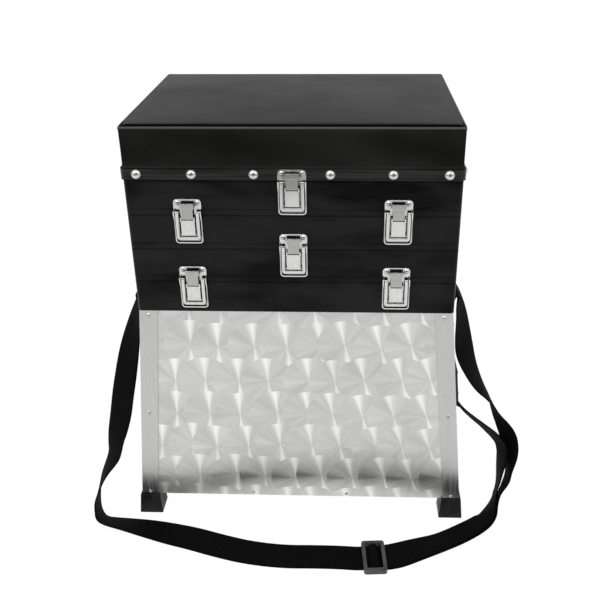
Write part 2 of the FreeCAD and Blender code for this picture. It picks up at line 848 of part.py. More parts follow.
# Seams from the bottom up: name, height, latch places across, how far the latch sits lower
SEAMS = [
    ("lower", COLLAR_TOP, ["-latch_spread", "latch_spread"], "0"),
    ("middle", f"({COLLAR_TOP} + tray_height)", ["0"], "0"),
    ("upper", f"({COLLAR_TOP} + 2 * tray_height)", ["-latch_spread", "latch_spread"], "0"),
    ("lid", BAND_BOTTOM, ["0"], "lid_latch_drop"),
]
MODULES = ["collar", "tray_3", "tray_2", "tray_1", "lid"]
levers = []
keepers = {}
latch_plates = {}
for index, (seam_name, seam, places, drop) in enumerate(SEAMS):
    below = MODULES[index]
    above = MODULES[index + 1]
    seat = LID_STEP if above == "lid" else "0"
    keepers[above] = []
    latch_plates[below] = []
    for number, across in enumerate(places):
        suffix = seam_name if len(places) == 1 else f"{seam_name}_{SIDES[number][0]}"
        keeper = make_keeper(f"keeper_{suffix}", seat)
        plate = make_latch_plate(f"plate_{suffix}")
        lever = make_lever(f"lever_{suffix}")
        hook = make_hook(f"hook_{suffix}")
        for piece in (keeper, plate, lever, hook):
            seat_latch_piece(piece, across, seam, drop)
        keepers[above].append(keeper)
        latch_plates[below].append(plate)
        levers.extend([lever, hook])
doc.recompute()
nodes.extend(levers)


# Hinges at the back of each seam

def make_leaf(label, upward, knuckles, seat, reach, height):
    """A leaf and its knuckles, drawn about the foot of the rear wall at the seam: the plate
    lies seat behind the wall and the pin line reach behind it."""
    body = new_body(label)
    half = "hinge_width / 2"
    sign = "" if upward else "-"
    near = f"{sign}(knuckle_radius + hinge_gap)"
    far = f"{sign}(knuckle_radius + hinge_gap + {height})"
    low, high = (near, far) if upward else (far, near)
    plate = rectangle(f"-{half}", low, half, high)
    back = f"-({seat} + leaf_thickness)"
    polygon_pad(body, label + "_plate", "XZ_Plane", back, "leaf_thickness", plate)
    for number, (start, length) in enumerate(knuckles):
        circle_pad(
            body,
            f"{label}_knuckle_{number}",
            "YZ_Plane",
            start,
            length,
            reach,
            "0",
            "knuckle_radius",
        )
        web = [
            (f"{seat} + 0.5", f"{sign}0.6"),
            (reach, f"{sign}0.6"),
            (reach, f"{sign}knuckle_radius * 0.9"),
            (f"{seat} + leaf_thickness", f"{sign}(knuckle_radius + hinge_gap + 1)"),
            (f"{seat} + 0.5", f"{sign}(knuckle_radius + hinge_gap + 1)"),
        ]
        polygon_pad(body, f"{label}_web_{number}", "YZ_Plane", start, length, web)
    circle_cut(
        body,
        label + "_bore",
        "YZ_Plane",
        f"-{half}",
        "hinge_width",
        reach,
        "0",
        "hinge_pin_radius + fit_gap",
    )
    return body


THIRD = "(hinge_width / 3)"
MIDDLE_KNUCKLE = [(f"-{THIRD} / 2 + hinge_gap / 2", f"{THIRD} - hinge_gap")]
OUTER_KNUCKLES = [
    ("-hinge_width / 2", f"{THIRD} - hinge_gap / 2"),
    (f"{THIRD} / 2 + hinge_gap / 2", f"{THIRD} - hinge_gap / 2"),
]

leaves = {module: [] for module in MODULES}
pins = {module: [] for module in MODULES}
for index, (seam_name, seam, places, drop) in enumerate(SEAMS):
    below = MODULES[index]
    above = MODULES[index + 1]
    seat = LID_STEP if above == "lid" else "0"
    height = "lid_leaf_height" if above == "lid" else "leaf_height"
    reach = f"({PIVOT_OUT} + {seat})"
    for side_name, side in SIDES:
        across = f"{side} * hinge_spread"
        name = f"leaf_{seam_name}_{side_name}"
        upper = make_leaf(name + "_up", True, MIDDLE_KNUCKLE, seat, reach, height)
        lower = make_leaf(name + "_down", False, OUTER_KNUCKLES, "0", reach, "leaf_height")
        for leaf in (upper, lower):
            tie_place(leaf, across, "tray_depth / 2", f"{seam} + seam_gap / 2")
        pin = doc.addObject("Part::Cylinder", f"pin_{seam_name}_{side_name}")
        tie(pin, "Radius", "hinge_pin_radius")
        tie(pin, "Height", "hinge_width")
        pin.Placement.Rotation = FreeCAD.Rotation(FreeCAD.Vector(0, 1, 0), 90)
        left = f"{across} - hinge_width / 2"
        tie_place(pin, left, f"tray_depth / 2 + {reach}", f"{seam} + seam_gap / 2")
        leaves[above].append(upper)
        leaves[below].append(lower)
        pins[below].append(pin)
doc.recompute()


def hinge_rivet_places(seam, upward, seat, height, wall):
    """Two rivets in each leaf of a seam, on the leaf's middle line."""
    sign = 1 if upward else -1
    rise = measure(f"knuckle_radius + hinge_gap + {height} / 2")
    level = measure(f"{seam} + seam_gap / 2") + sign * rise
    back = measure(f"tray_depth / 2 + {seat} + leaf_thickness")
    grip = measure(f"leaf_thickness + {wall}")
    reach = measure("hinge_width / 3")
    places = []
    for side in (-1, 1):
        middle = side * measure("hinge_spread")
        for x in (middle - reach, middle + reach):
            places.append(((x, back, level), BACKWARD, grip))
    return places


def keeper_rivet_places(seam, across, drop, seat, wall):
    """Two rivets at the top corners of a keeper."""
    reach = measure("latch_width / 2 - keeper_corner")
    height = measure(f"{seam} - ({drop}) + seam_gap + keeper_height - keeper_corner")
    out = measure(f"tray_depth / 2 + {seat} + latch_plate")
    grip = measure(f"latch_plate + {wall}")
    middle = measure(across)
    return [((middle + x, -out, height), FORWARD, grip) for x in (-reach, reach)]


def plate_rivet_places(seam, across, drop):
    """Two rivets on the middle line of a latch plate, under the lever."""
    out = measure("tray_depth / 2 + latch_plate")
    grip = measure("latch_plate + tray_wall")
    top = measure(f"{seam} - ({drop}) - seam_gap")
    middle = measure(across)
    quarter = measure("base_plate_height / 4")
    return [((middle, -out, top - quarter * share), FORWARD, grip) for share in (1, 3)]


places_of = {module: [] for module in MODULES}
for index, (seam_name, seam, places, drop) in enumerate(SEAMS):
    below = MODULES[index]
    above = MODULES[index + 1]
    on_lid = above == "lid"
    seat = LID_STEP if on_lid else "0"
    wall = "stud_shank_length" if on_lid else "tray_wall"
    height = "lid_leaf_height" if on_lid else "leaf_height"
    places_of[below] += hinge_rivet_places(seam, False, "0", "leaf_height", "tray_wall")
    places_of[above] += hinge_rivet_places(seam, True, seat, height, wall)
    for across in places:
        places_of[above] += keeper_rivet_places(seam, across, drop, seat, wall)
        places_of[below] += plate_rivet_places(seam, across, drop)

holes_of = {}
for module in MODULES:
    holes_of[module] = hole_group(f"{module}_holes", places_of[module], "rivet_shank_radius")


def module_hardware(module, prefix):
    """Keepers, latch plates and leaves of a module, each kind one node, and its rivets."""
    made = []
    if keepers.get(module):
        group = gather(f"{module}_keeper_blanks", keepers[module])
        made.append(drill(group, holes_of[module], f"{prefix}_keepers"))
    if latch_plates.get(module):
        group = gather(f"{module}_plate_blanks", latch_plates[module])
        made.append(drill(group, holes_of[module], f"{prefix}_latch_plates"))
    group = gather(f"{module}_leaf_blanks", leaves[module])
    made.append(drill(group, holes_of[module], f"{prefix}_hinge_leaves"))
    return made


# Trays and collar

def make_tray(number):
    label = f"tray_{number}"
    body = new_body(label + "_shell")
    low = f"({COLLAR_TOP} + {3 - number} * tray_height + seam_gap)"
    height = "(tray_height - seam_gap)"
    line = "(rim_height + rim_line_height)"
    layers = [
        ("rim", "0", "rim_height", "0"),
        ("line", "rim_height", "rim_line_height", "rim_line_inset"),
        ("wall", line, f"{height} - seam_neck_height - {line}", "0"),
        ("neck", f"{height} - seam_neck_height", "seam_neck_height", "seam_neck_inset"),
    ]
    for name, above, thick, inset in layers:
        rounded_pad(
            body,
            f"{label}_{name}",
            f"{low} + {above}",
            thick,
            f"tray_width - 2 * {inset}",
            f"tray_depth - 2 * {inset}",
            f"tray_corner - {inset}",
        )
    rounded_cut(
        body,
        f"{label}_hollow",
        f"{low} + tray_floor",
        "tray_height",
        "tray_width - 2 * tray_wall",
        "tray_depth - 2 * tray_wall",
        "tray_corner - tray_wall / 2",
    )
    return drill(body, holes_of[label], label)


def make_collar():
    body = new_body("collar_shell")
    top = "(collar_height - seam_neck_height)"
    wide = "tray_width - 2 * "
    deep = "tray_depth - 2 * "
    rounded_pad(body, "collar_wall", METAL_TOP, top, "tray_width", "tray_depth", "tray_corner")
    rounded_pad(
        body,
        "collar_neck",
        f"{METAL_TOP} + {top}",
        "seam_neck_height",
        wide + "seam_neck_inset",
        deep + "seam_neck_inset",
        "tray_corner - seam_neck_inset",
    )
    skirt = "(metal_inset + profile_thickness + sheet_thickness)"
    rounded_pad(
        body,
        "collar_skirt_outside",
        f"{METAL_TOP} - collar_skirt",
        "collar_skirt",
        wide + skirt,
        deep + skirt,
        "tray_corner - 2",
    )
    hollow = f"({skirt} + tray_wall)"
    rounded_cut(
        body,
        "collar_hollow",
        f"{METAL_TOP} - 2 * collar_skirt",
        "collar_height + 4 * collar_skirt",
        wide + hollow,
        deep + hollow,
        "tray_corner - tray_wall",
    )
    rounded_cut(
        body,
        "collar_upper_hollow",
        f"{METAL_TOP} + tray_wall",
        "collar_height + collar_skirt",
        wide + "tray_wall",
        deep + "tray_wall",
        "tray_corner - tray_wall / 2",
    )
    drilled = drill(body, base_holes, "collar_riveted")
    return drill(drilled, holes_of["collar"], "collar")


nodes.append(make_collar())
nodes += module_hardware("collar", "collar")
for number in (3, 2, 1):
    module = f"tray_{number}"
    nodes.append(make_tray(number))
    nodes += module_hardware(module, module)
    fasteners = rivet_group(f"{module}_rivet_set", places_of[module])
    nodes.append(gather(f"{module}_pins_and_rivets", [fasteners] + pins[module]))

base_rivets = rivet_group("base_rivet_set", base_places + clamp_rivet_places() + places_of["collar"])
nodes.append(gather("base_pins_and_rivets", [base_rivets] + pins["collar"]))


# Webbing: each station is a point on the middle line and a direction across the webbing

SHOULDER_ROUTE = [
    (-182.31, -87.00, 256.00, 0.00, 1.00, 0.00),
    (-181.47, -87.00, 265.00, 0.00, 1.00, 0.00),
    (-180.64, -87.00, 274.00, 0.00, 1.00, 0.00),
    (-180.40, -87.00, 278.00, 0.00, 1.00, 0.00),
    (-181.00, -87.00, 290.00, 0.00, 1.00, 0.00),
    (-181.90, -87.00, 299.00, 0.00, 1.00, 0.00),
    (-183.40, -87.00, 304.50, 0.00, 1.00, 0.00),
    (-186.00, -87.00, 306.60, 0.00, 1.00, 0.00),
    (-188.50, -87.00, 303.80, 0.00, 1.00, 0.00),
    (-189.60, -87.50, 296.00, -0.15, 0.99, 0.00),
    (-191.20, -88.50, 282.00, -0.35, 0.94, 0.00),
    (-195.80, -90.00, 266.00, -0.50, 0.87, 0.00),
    (-204.20, -93.00, 235.00, -0.70, 0.71, 0.00),
    (-210.30, -96.00, 210.10, -0.78, 0.62, 0.05),
    (-214.70, -100.00, 188.60, -0.81, 0.59, 0.05),
    (-219.50, -105.00, 165.30, -0.82, 0.57, 0.03),
    (-222.70, -109.00, 146.00, -0.82, 0.57, 0.02),
    (-225.30, -112.00, 133.80, -0.79, 0.62, 0.04),
    (-228.60, -115.00, 120.60, -0.75, 0.66, 0.01),
    (-231.60, -119.00, 109.00, -0.70, 0.70, -0.12),
    (-233.60, -125.00, 92.00, -0.62, 0.78, -0.11),
    (-237.50, -128.00, 82.50, -0.45, 0.89, -0.10),
    (-243.20, -132.00, 72.90, -0.35, 0.92, -0.19),
    (-249.60, -137.00, 61.20, -0.29, 0.92, -0.27),
    (-254.00, -140.50, 48.50, -0.25, 0.90, -0.35),
    (-256.60, -144.00, 37.50, -0.16, 0.88, -0.44),
    (-257.40, -148.50, 27.50, -0.10, 0.82, -0.56),
    (-255.60, -153.50, 18.80, -0.05, 0.78, -0.60),
    (-250.00, -159.50, 12.60, 0.05, 0.83, -0.55),
    (-239.00, -163.00, 10.60, 0.15, 0.87, -0.47),
    (-219.00, -164.50, 8.20, 0.24, 0.91, -0.38),
    (-184.50, -168.50, 4.00, 0.30, 0.94, -0.16),
    (-157.00, -173.80, 1.80, 0.30, 0.95, -0.04),
    (-130.70, -179.90, 1.10, 0.27, 0.96, 0.00),
    (-99.80, -190.20, 1.00, 0.27, 0.96, 0.00),
    (-60.00, -201.50, 1.00, 0.20, 0.98, 0.00),
    (-15.00, -207.00, 1.00, 0.03, 1.00, 0.00),
    (20.00, -206.00, 1.00, 0.00, 1.00, 0.00),
    (54.00, -206.30, 1.00, 0.00, 1.00, 0.00),
    (72.00, -207.90, 1.30, -0.02, 1.00, 0.00),
    (82.00, -208.30, 2.40, -0.05, 1.00, 0.00),
    (86.60, -208.15, 3.00, -0.07, 1.00, 0.00),
    (90.60, -207.95, 6.70, -0.07, 1.00, 0.00),
    (92.40, -207.82, 7.15, -0.07, 1.00, 0.00),
    (94.00, -207.70, 7.25, -0.07, 1.00, 0.00),
    (95.60, -207.60, 7.15, -0.07, 1.00, 0.00),
    (97.40, -207.45, 6.70, -0.08, 1.00, 0.00),
    (101.30, -207.15, 1.70, -0.11, 0.99, 0.00),
    (105.00, -206.50, 1.20, -0.15, 0.99, 0.00),
    (112.00, -205.20, 1.05, -0.20, 0.98, 0.00),
    (124.00, -202.10, 1.35, -0.27, 0.96, 0.00),
    (143.00, -195.60, 3.20, -0.35, 0.93, -0.10),
    (174.30, -186.40, 6.80, -0.42, 0.86, -0.29),
    (199.90, -173.40, 8.40, -0.50, 0.81, -0.30),
    (225.60, -162.60, 15.60, -0.55, 0.70, -0.42),
    (235.90, -156.00, 20.60, -0.45, 0.68, -0.58),
    (242.50, -146.00, 26.00, -0.25, 0.62, -0.74),
    (249.60, -136.50, 34.50, 0.12, 0.82, -0.56),
    (254.80, -130.00, 42.50, 0.14, 0.84, -0.51),
    (260.00, -125.00, 48.00, 0.10, 0.89, -0.45),
    (264.80, -118.00, 55.70, 0.07, 0.95, -0.30),
    (264.80, -115.00, 67.60, -0.01, 0.97, -0.26),
    (265.80, -112.00, 78.00, -0.16, 0.95, -0.27),
    (265.80, -109.00, 88.20, -0.33, 0.91, -0.25),
    (264.50, -106.00, 101.50, -0.43, 0.86, -0.27),
    (260.30, -103.00, 116.20, -0.45, 0.82, -0.36),
    (252.20, -100.00, 130.70, -0.33, 0.88, -0.34),
    (244.20, -98.00, 144.20, -0.15, 0.96, -0.23),
    (239.00, -96.00, 156.20, -0.02, 0.98, -0.18),
    (230.60, -94.00, 168.10, 0.06, 0.99, -0.11),
    (220.50, -92.00, 181.30, 0.25, 0.97, 0.04),
    (210.80, -90.00, 200.20, 0.41, 0.91, 0.09),
    (201.20, -88.00, 225.50, 0.62, 0.78, 0.10),
    (197.40, -87.50, 249.00, 0.55, 0.83, 0.00),
    (194.00, -87.20, 275.00, 0.38, 0.92, 0.00),
    (189.00, -87.00, 296.00, 0.20, 0.98, 0.00),
    (188.50, -87.00, 303.80, 0.00, 1.00, 0.00),
    (186.00, -87.00, 306.60, 0.00, 1.00, 0.00),
    (183.40, -87.00, 304.50, 0.00, 1.00, 0.00),
    (181.90, -87.00, 299.00, 0.00, 1.00, 0.00),
    (181.00, -87.00, 290.00, 0.00, 1.00, 0.00),
    (180.40, -87.00, 278.00, 0.00, 1.00, 0.00),
    (180.64, -87.00, 274.00, 0.00, 1.00, 0.00),
    (181.47, -87.00, 265.00, 0.00, 1.00, 0.00),
    (182.31, -87.00, 256.00, 0.00, 1.00, 0.00),
]
RETURN_ROUTE = [
    (103.60, -206.48, 3.15, -0.15, 0.99, 0.00),
    (111.98, -205.20, 3.30, -0.20, 0.98, 0.00),
    (123.86, -202.14, 3.60, -0.27, 0.96, 0.00),
    (142.72, -195.47, 5.43, -0.35, 0.93, -0.10),
    (173.90, -185.87, 8.95, -0.42, 0.86, -0.29),
    (199.33, -172.96, 10.53, -0.50, 0.81, -0.30),
    (224.51, -162.02, 18.00, -0.55, 0.70, -0.42),
    (233.57, -155.28, 23.25, -0.45, 0.68, -0.58),
    (239.23, -145.05, 27.90, -0.25, 0.62, -0.74),
    (245.97, -132.91, 33.73, 0.12, 0.82, -0.56),
    (250.54, -123.65, 40.37, 0.14, 0.84, -0.51),
    (253.95, -115.54, 43.98, 0.10, 0.89, -0.45),
    (256.20, -106.00, 64.40, -0.06, 0.92, -0.36),
    (257.00, -104.00, 77.80, -0.12, 0.93, -0.35),
    (256.90, -101.00, 87.50, -0.25, 0.92, -0.30),
    (254.10, -99.00, 96.20, -0.42, 0.87, -0.27),
    (246.30, -97.00, 105.30, -0.52, 0.81, -0.27),
    (237.80, -95.50, 113.70, -0.56, 0.79, -0.25),
    (225.70, -93.00, 122.60, -0.54, 0.81, -0.24),
    (210.20, -90.00, 135.10, -0.45, 0.87, -0.20),
    (199.50, -88.00, 148.50, -0.25, 0.96, -0.12),
    (195.20, -87.40, 153.80, -0.06, 1.00, 0.00),
    (192.40, -87.00, 158.00, 0.00, 1.00, 0.00),
    (191.22, -87.00, 161.50, 0.00, 1.00, 0.00),
    (190.92, -87.00, 163.60, 0.00, 1.00, 0.00),
    (190.68, -87.00, 166.00, 0.00, 1.00, 0.00),
    (189.75, -87.00, 176.00, 0.00, 1.00, 0.00),
    (188.44, -87.00, 190.00, 0.00, 1.00, 0.00),
    (187.05, -87.00, 205.00, 0.00, 1.00, 0.00),
]
ROUTE_STEPS = 3


def smooth_route(stations):
    """The stations with others between them, on a curve through all of them."""
    rows = [[float(value) for value in station] for station in stations]
    last = len(rows) - 1
    route = []
    for index in range(last):
        before = rows[max(index - 1, 0)]
        here = rows[index]
        there = rows[index + 1]
        after = rows[min(index + 2, last)]
        for step in range(ROUTE_STEPS):
            u = step / ROUTE_STEPS
            point = []
            for a, b, c, d in zip(before, here, there, after):
                square = (2 * a - 5 * b + 4 * c - d) * u * u
                cube = (3 * b - a - 3 * c + d) * u * u * u
                point.append(0.5 * (2 * b + (c - a) * u + square + cube))
            route.append(point)
    route.append(rows[last])
    return route


def webbing(stations, width):
    """A flat strap along a route, as a chain of ruled pieces."""
    route = smooth_route(stations)
    points = [FreeCAD.Vector(*row[:3]) for row in route]
    half = width / 2
    thick = measure("webbing_thickness") / 2
    wires = []
    for index, row in enumerate(route):
        ahead = points[min(index + 1, len(points) - 1)]
        behind = points[max(index - 1, 0)]
        along = (ahead - behind).normalize()
        across = FreeCAD.Vector(*row[3:])
        across = (across - along * across.dot(along)).normalize()
        normal = along.cross(across)
        corners = []
        for side, face in ((-1, -1), (1, -1), (1, 1), (-1, 1)):
            corners.append(points[index] + across * (side * half) + normal * (face * thick))
        wires.append(Part.makePolygon(corners + corners[:1]))
    return Part.makeLoft(wires, True, True)


def make_clamp(label, side, height, tall, thick):
    """A plate that presses webbing against a side panel, square to the panel's slope."""
    body = new_body(label)
    near = "webbing_thickness + clamp_play"
    far = f"{near} + {thick}"
    sign = "-" if side < 0 else ""
    half = "clamp_width / 2"
    x_low, x_high = (f"-({far})", f"-({near})") if side < 0 else (near, far)
    sketch = sketch_on(body, label + "_plan", "XY_Plane", f"-({tall}) / 2")
    draw_polygon(sketch, rectangle(x_low, f"-{half}", x_high, half))
    pad(body, sketch, tall)
    body.Placement.Rotation = FreeCAD.Rotation(FreeCAD.Vector(0, 1, 0), -side * math.degrees(lean))
    tie_place(body, f"{sign}({outer_x(height)} - profile_thickness)", "-clamp_forward", height)
    return body


shoulder = shape_feature("shoulder_blank", webbing(SHOULDER_ROUTE, measure("webbing_width")))
nodes.append(drill(shoulder, clamp_holes, "shoulder_strap"))
back_strap = shape_feature("return_blank", webbing(RETURN_ROUTE, measure("return_width")))
nodes.append(drill(back_strap, clamp_holes, "strap_return"))
for label, side, height, tall, thick in CLAMPS:
    plate = make_clamp(label + "_blank", side, height, tall, thick)
    nodes.append(drill(plate, clamp_holes, label))


def make_slider():
    """A moulded frame that stands on the floor, bridges the webbing and has a low rung across it."""
    body = new_body("strap_slider")
    channel = "(webbing_width + 2 * slider_play)"
    width = f"({channel} + 2 * slider_bar)"
    tall = "slider_lift + slider_thickness - slider_low"
    rounded_pad(
        body, "slider_frame", "slider_low", tall, "slider_length", width, "slider_corner"
    )
    rounded_cut(
        body,
        "slider_window",
        "slider_low",
        tall,
        "slider_length - 2 * slider_bar",
        channel,
        "slider_window_corner",
    )
    passage = rectangle("-slider_length", f"-{channel} / 2", "slider_length", f"{channel} / 2")
    sketch = sketch_on(body, "slider_passage_plan", "XY_Plane", "slider_low")
    draw_polygon(sketch, passage)
    pocket(body, sketch, "slider_lift - slider_low")
    reach = f"({channel} / 2 + slider_play)"
    rung = rectangle("-slider_rung_half", f"-{reach}", "slider_rung_half", reach)
    sketch = sketch_on(body, "slider_rung_plan", "XY_Plane", "slider_lift")
    draw_polygon(sketch, rung)
    pad(body, sketch, "slider_rung_height")
    turn = FreeCAD.Rotation(FreeCAD.Vector(0, 0, 1), measure("slider_turn"))
    spot = FreeCAD.Vector(measure("slider_right"), -measure("slider_forward"), 0)
    body.Placement = FreeCAD.Placement(spot, turn)
    doc.recompute()
    return body


nodes.append(make_slider())

# Seat lid

def stud_places():
    """Dome studs round the edge band: six in front, four on each side and four behind."""
    height = measure(f"{BAND_BOTTOM} + seam_gap + (band_height - seam_gap) / 2")
    x_out = measure("tray_width / 2 + band_thickness")
    y_out = measure("tray_depth / 2 + band_thickness")
    grip = measure("stud_shank_length")
    inset = measure("tray_width / 20.5")
    row = x_out - inset
    places = []
    for share in (-1, -0.645, -0.245, 0.245, 0.645, 1):
        places.append(((row * share, -y_out, height), FORWARD, grip))
    for share in (-1, -0.3, 0.3, 1):
        places.append(((row * share, y_out, height), BACKWARD, grip))
    column = y_out - inset
    for share in (-1, -0.33, 0.33, 1):
        places.append(((-x_out, column * share, height), (-1, 0, 0), grip))
        places.append(((x_out, column * share, height), (1, 0, 0), grip))
    return places


def stud_group(label, places):
    sizes = [measure(name) for name in ("stud_radius", "stud_dome", "stud_shank_radius")]
    solids = [placed(dome_fastener(*sizes, grip), spot, way) for spot, way, grip in places]
    return shape_feature(label, Part.makeCompound(solids))


def rounded_wire(width, depth, radius, height):
    """A closed rectangle with round corners at a height, starting at the front left."""
    wide = width / 2
    deep = depth / 2
    near_x = wide - radius
    near_y = deep - radius
    off = radius * (1 - math.sqrt(0.5))
    edges = []
    spots = [
        ((-near_x, -deep), (near_x, -deep), (wide - off, -deep + off), (wide, -near_y)),
        ((wide, -near_y), (wide, near_y), (wide - off, deep - off), (near_x, deep)),
        ((near_x, deep), (-near_x, deep), (-wide + off, deep - off), (-wide, near_y)),
        ((-wide, near_y), (-wide, -near_y), (-wide + off, -deep + off), (-near_x, -deep)),
    ]
    for start, end, middle, after in spots:
        one = FreeCAD.Vector(*start, height)
        two = FreeCAD.Vector(*end, height)
        bend = FreeCAD.Vector(*middle, height)
        three = FreeCAD.Vector(*after, height)
        edges.append(Part.makeLine(one, two))
        edges.append(Part.Arc(two, bend, three).toShape())
    return Part.Wire(edges)


def cushion_solid(skin):
    """The padded top: straight at the band, drawn in at mid height, round at the top edge and
    crowned. skin is how far it lies inside the cover's outside."""
    width = measure("tray_width")
    depth = measure("tray_depth")
    base = measure(BAND_TOP)
    height = measure("cushion_height")
    crown = measure("cushion_crown")
    draw = measure("cushion_draw")
    edge = measure("cushion_edge")
    corner = measure("cushion_corner")
    shoulder = height - crown - edge
    profile = [
        (0, 0),
        (draw, shoulder * 0.45),
        (draw * 0.4, shoulder),
        (draw * 0.4 + edge * 0.3, shoulder + edge * 0.7),
        (draw * 0.4 + edge, shoulder + edge),
    ]
    run = depth / 2 - draw * 0.4 - edge
    for share, rise in ((0.1, 0.35), (0.3, 0.75), (0.6, 1.0)):
        profile.append((draw * 0.4 + edge + run * share, shoulder + edge + crown * rise))
    wires = []
    for inset, rise in profile:
        wide = width - 2 * (inset + skin)
        deep = depth - 2 * (inset + skin)
        lift = rise if rise == 0 else rise - skin
        bend = corner + inset * 0.3 - skin * 0.8
        wires.append(rounded_wire(wide, deep, bend, base + lift))
    return Part.makeLoft(wires, True, True)


def make_lid():
    """Board, foam, cover, band, studs and the lid's own hardware."""
    made = []
    studs = stud_places()
    stud_holes = hole_group("stud_holes", studs, "stud_shank_radius")
    low = f"({BAND_BOTTOM} + seam_gap)"
    thick = "band_height - seam_gap"
    board = new_body("seat_board_blank")
    rounded_pad(board, "board_plan", low, thick, "tray_width", "tray_depth", "tray_corner")
    band = new_body("trim_band_blank")
    band_width = "tray_width + 2 * band_thickness"
    band_depth = "tray_depth + 2 * band_thickness"
    band_corner = "tray_corner + band_thickness"
    rounded_pad(band, "band_plan", low, thick, band_width, band_depth, band_corner)
    rounded_cut(band, "band_hollow", low, thick, "tray_width", "tray_depth", "tray_corner")
    for body, label in ((board, "seat_board"), (band, "trim_band")):
        studded = drill(body, stud_holes, label + "_studded")
        made.append(drill(studded, holes_of["lid"], label))
    foam = shape_feature("seat_foam", cushion_solid(measure("cover_thickness")))
    cover_outside = shape_feature("cover_outside", cushion_solid(0))
    cover = doc.addObject("Part::Cut", "seat_cover")
    cover.Label = "seat_cover"
    cover.Base = cover_outside
    cover.Tool = foam
    made += [foam, cover, stud_group("trim_studs", studs)]
    made += module_hardware("lid", "lid")
    rivets = rivet_group("lid_rivets", places_of["lid"])
    made.append(rivets)
    doc.recompute()
    return made


nodes += make_lid()

# Check and write

doc.recompute()
for item in doc.Objects:
    if "Invalid" in item.State or "Error" in item.State:
        raise RuntimeError(f"{item.Label} is {item.State}")
for node in nodes:
    if node.Shape.isNull() or not node.Shape.isValid():
        raise RuntimeError(f"{node.Label} has no valid shape")
for node in nodes:
    node.Shape.exportStep(os.path.join("parts", node.Label + ".step"))
print(len(nodes), "nodes written")
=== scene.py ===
# %% [markdown]
# A padded seat box for anglers: an aluminium base with engine-turned panels, a black collar,
# three hinged trays, a cushioned lid and a shoulder strap that lies beside it.
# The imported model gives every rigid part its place. This file gives them their finish, and
# models the soft parts: the cushion and the webbing.

# %% Load the frame
import json
import math

import bmesh
import bpy
from mathutils import Matrix, Vector


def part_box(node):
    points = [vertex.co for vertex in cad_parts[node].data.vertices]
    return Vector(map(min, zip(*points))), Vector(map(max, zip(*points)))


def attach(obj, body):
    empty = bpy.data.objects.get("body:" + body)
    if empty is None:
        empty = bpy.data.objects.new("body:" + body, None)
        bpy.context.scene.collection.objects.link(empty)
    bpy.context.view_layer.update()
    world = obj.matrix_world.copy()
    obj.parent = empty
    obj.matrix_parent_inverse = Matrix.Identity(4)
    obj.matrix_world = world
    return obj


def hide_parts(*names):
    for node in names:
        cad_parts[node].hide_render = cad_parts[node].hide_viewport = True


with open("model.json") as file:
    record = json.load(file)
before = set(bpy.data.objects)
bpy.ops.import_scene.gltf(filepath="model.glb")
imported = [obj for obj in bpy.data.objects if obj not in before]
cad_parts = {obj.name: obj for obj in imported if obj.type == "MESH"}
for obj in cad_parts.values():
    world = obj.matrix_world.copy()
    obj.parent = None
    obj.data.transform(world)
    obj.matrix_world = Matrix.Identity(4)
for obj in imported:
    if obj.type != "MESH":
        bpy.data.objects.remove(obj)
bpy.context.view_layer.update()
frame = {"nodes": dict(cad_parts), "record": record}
nodes = frame["nodes"]
scene = bpy.context.scene
scene.view_settings.view_transform = "Standard"
print("nodes", len(nodes))

# %% [markdown]
# The camera is the photograph's own: its place and angles were worked out from the edges of
# the box. The lens centre is a little off the middle of the picture, so the camera is shifted.

# %% Camera
PICTURE = 600
FOCAL_PIXELS = 804.98
YAW = math.radians(-2.291)
PITCH = math.radians(26.452)
ROLL = math.radians(-0.515)
LENS_CENTRE = (319.44, 289.05)
CAMERA_PLACE = (0.06006, -0.93601, 0.72768)
SENSOR = 36
ahead = math.cos(PITCH)
forward = Vector((math.sin(YAW) * ahead, math.cos(YAW) * ahead, -math.sin(PITCH)))
level = Vector((math.cos(YAW), -math.sin(YAW), 0))
upright = level.cross(forward)
right = level * math.cos(ROLL) + upright * math.sin(ROLL)
up = upright * math.cos(ROLL) - level * math.sin(ROLL)
bpy.ops.object.camera_add()
camera = bpy.context.object
camera.name = "camera"
camera.data.sensor_width = SENSOR
camera.data.lens = FOCAL_PIXELS / PICTURE * SENSOR
camera.data.shift_x = -(LENS_CENTRE[0] - PICTURE / 2) / PICTURE
camera.data.shift_y = -(PICTURE / 2 - LENS_CENTRE[1]) / PICTURE
camera.matrix_world = Matrix((
    (right.x, up.x, -forward.x, CAMERA_PLACE[0]),
    (right.y, up.y, -forward.y, CAMERA_PLACE[1]),
    (right.z, up.z, -forward.z, CAMERA_PLACE[2]),
    (0, 0, 0, 1),
))
scene.camera = camera
print("lens", round(camera.data.lens, 2))

# %% [markdown]
# A pale sheet lies under the box, as in a product studio. It looks white to the camera and in
# mirrors, and keeps a faint shadow, so no lamp has to bleach it. It ends 1.3 m in front of the
# box, because a studio is dim behind the camera and chrome owes its dark accents to that.

# %% Floor
SHEET_COLOUR = (0.86, 0.86, 0.86)
SHEET_GLOW = 1.06
GLOW_SHARE = 0.9
SHEET_WIDE = 14.0
SHEET_FRONT = -1.45
SHEET_BACK = 14.0
sheet_middle = (SHEET_FRONT + SHEET_BACK) / 2
bpy.ops.mesh.primitive_plane_add(size=1, location=(0, sheet_middle, 0))
bpy.ops.transform.resize(value=(SHEET_WIDE, SHEET_BACK - SHEET_FRONT, 1))
bpy.ops.object.transform_apply(location=True, rotation=False, scale=True)
floor = bpy.context.object
floor.name = "studio_floor"


def bare_material(name):
    """A material with nothing but its output, and its node tree."""
    material = bpy.data.materials.new(name)
    material.use_nodes = True
    tree = material.node_tree
    tree.nodes.clear()
    tree.nodes.new("ShaderNodeOutputMaterial")
    return material, tree


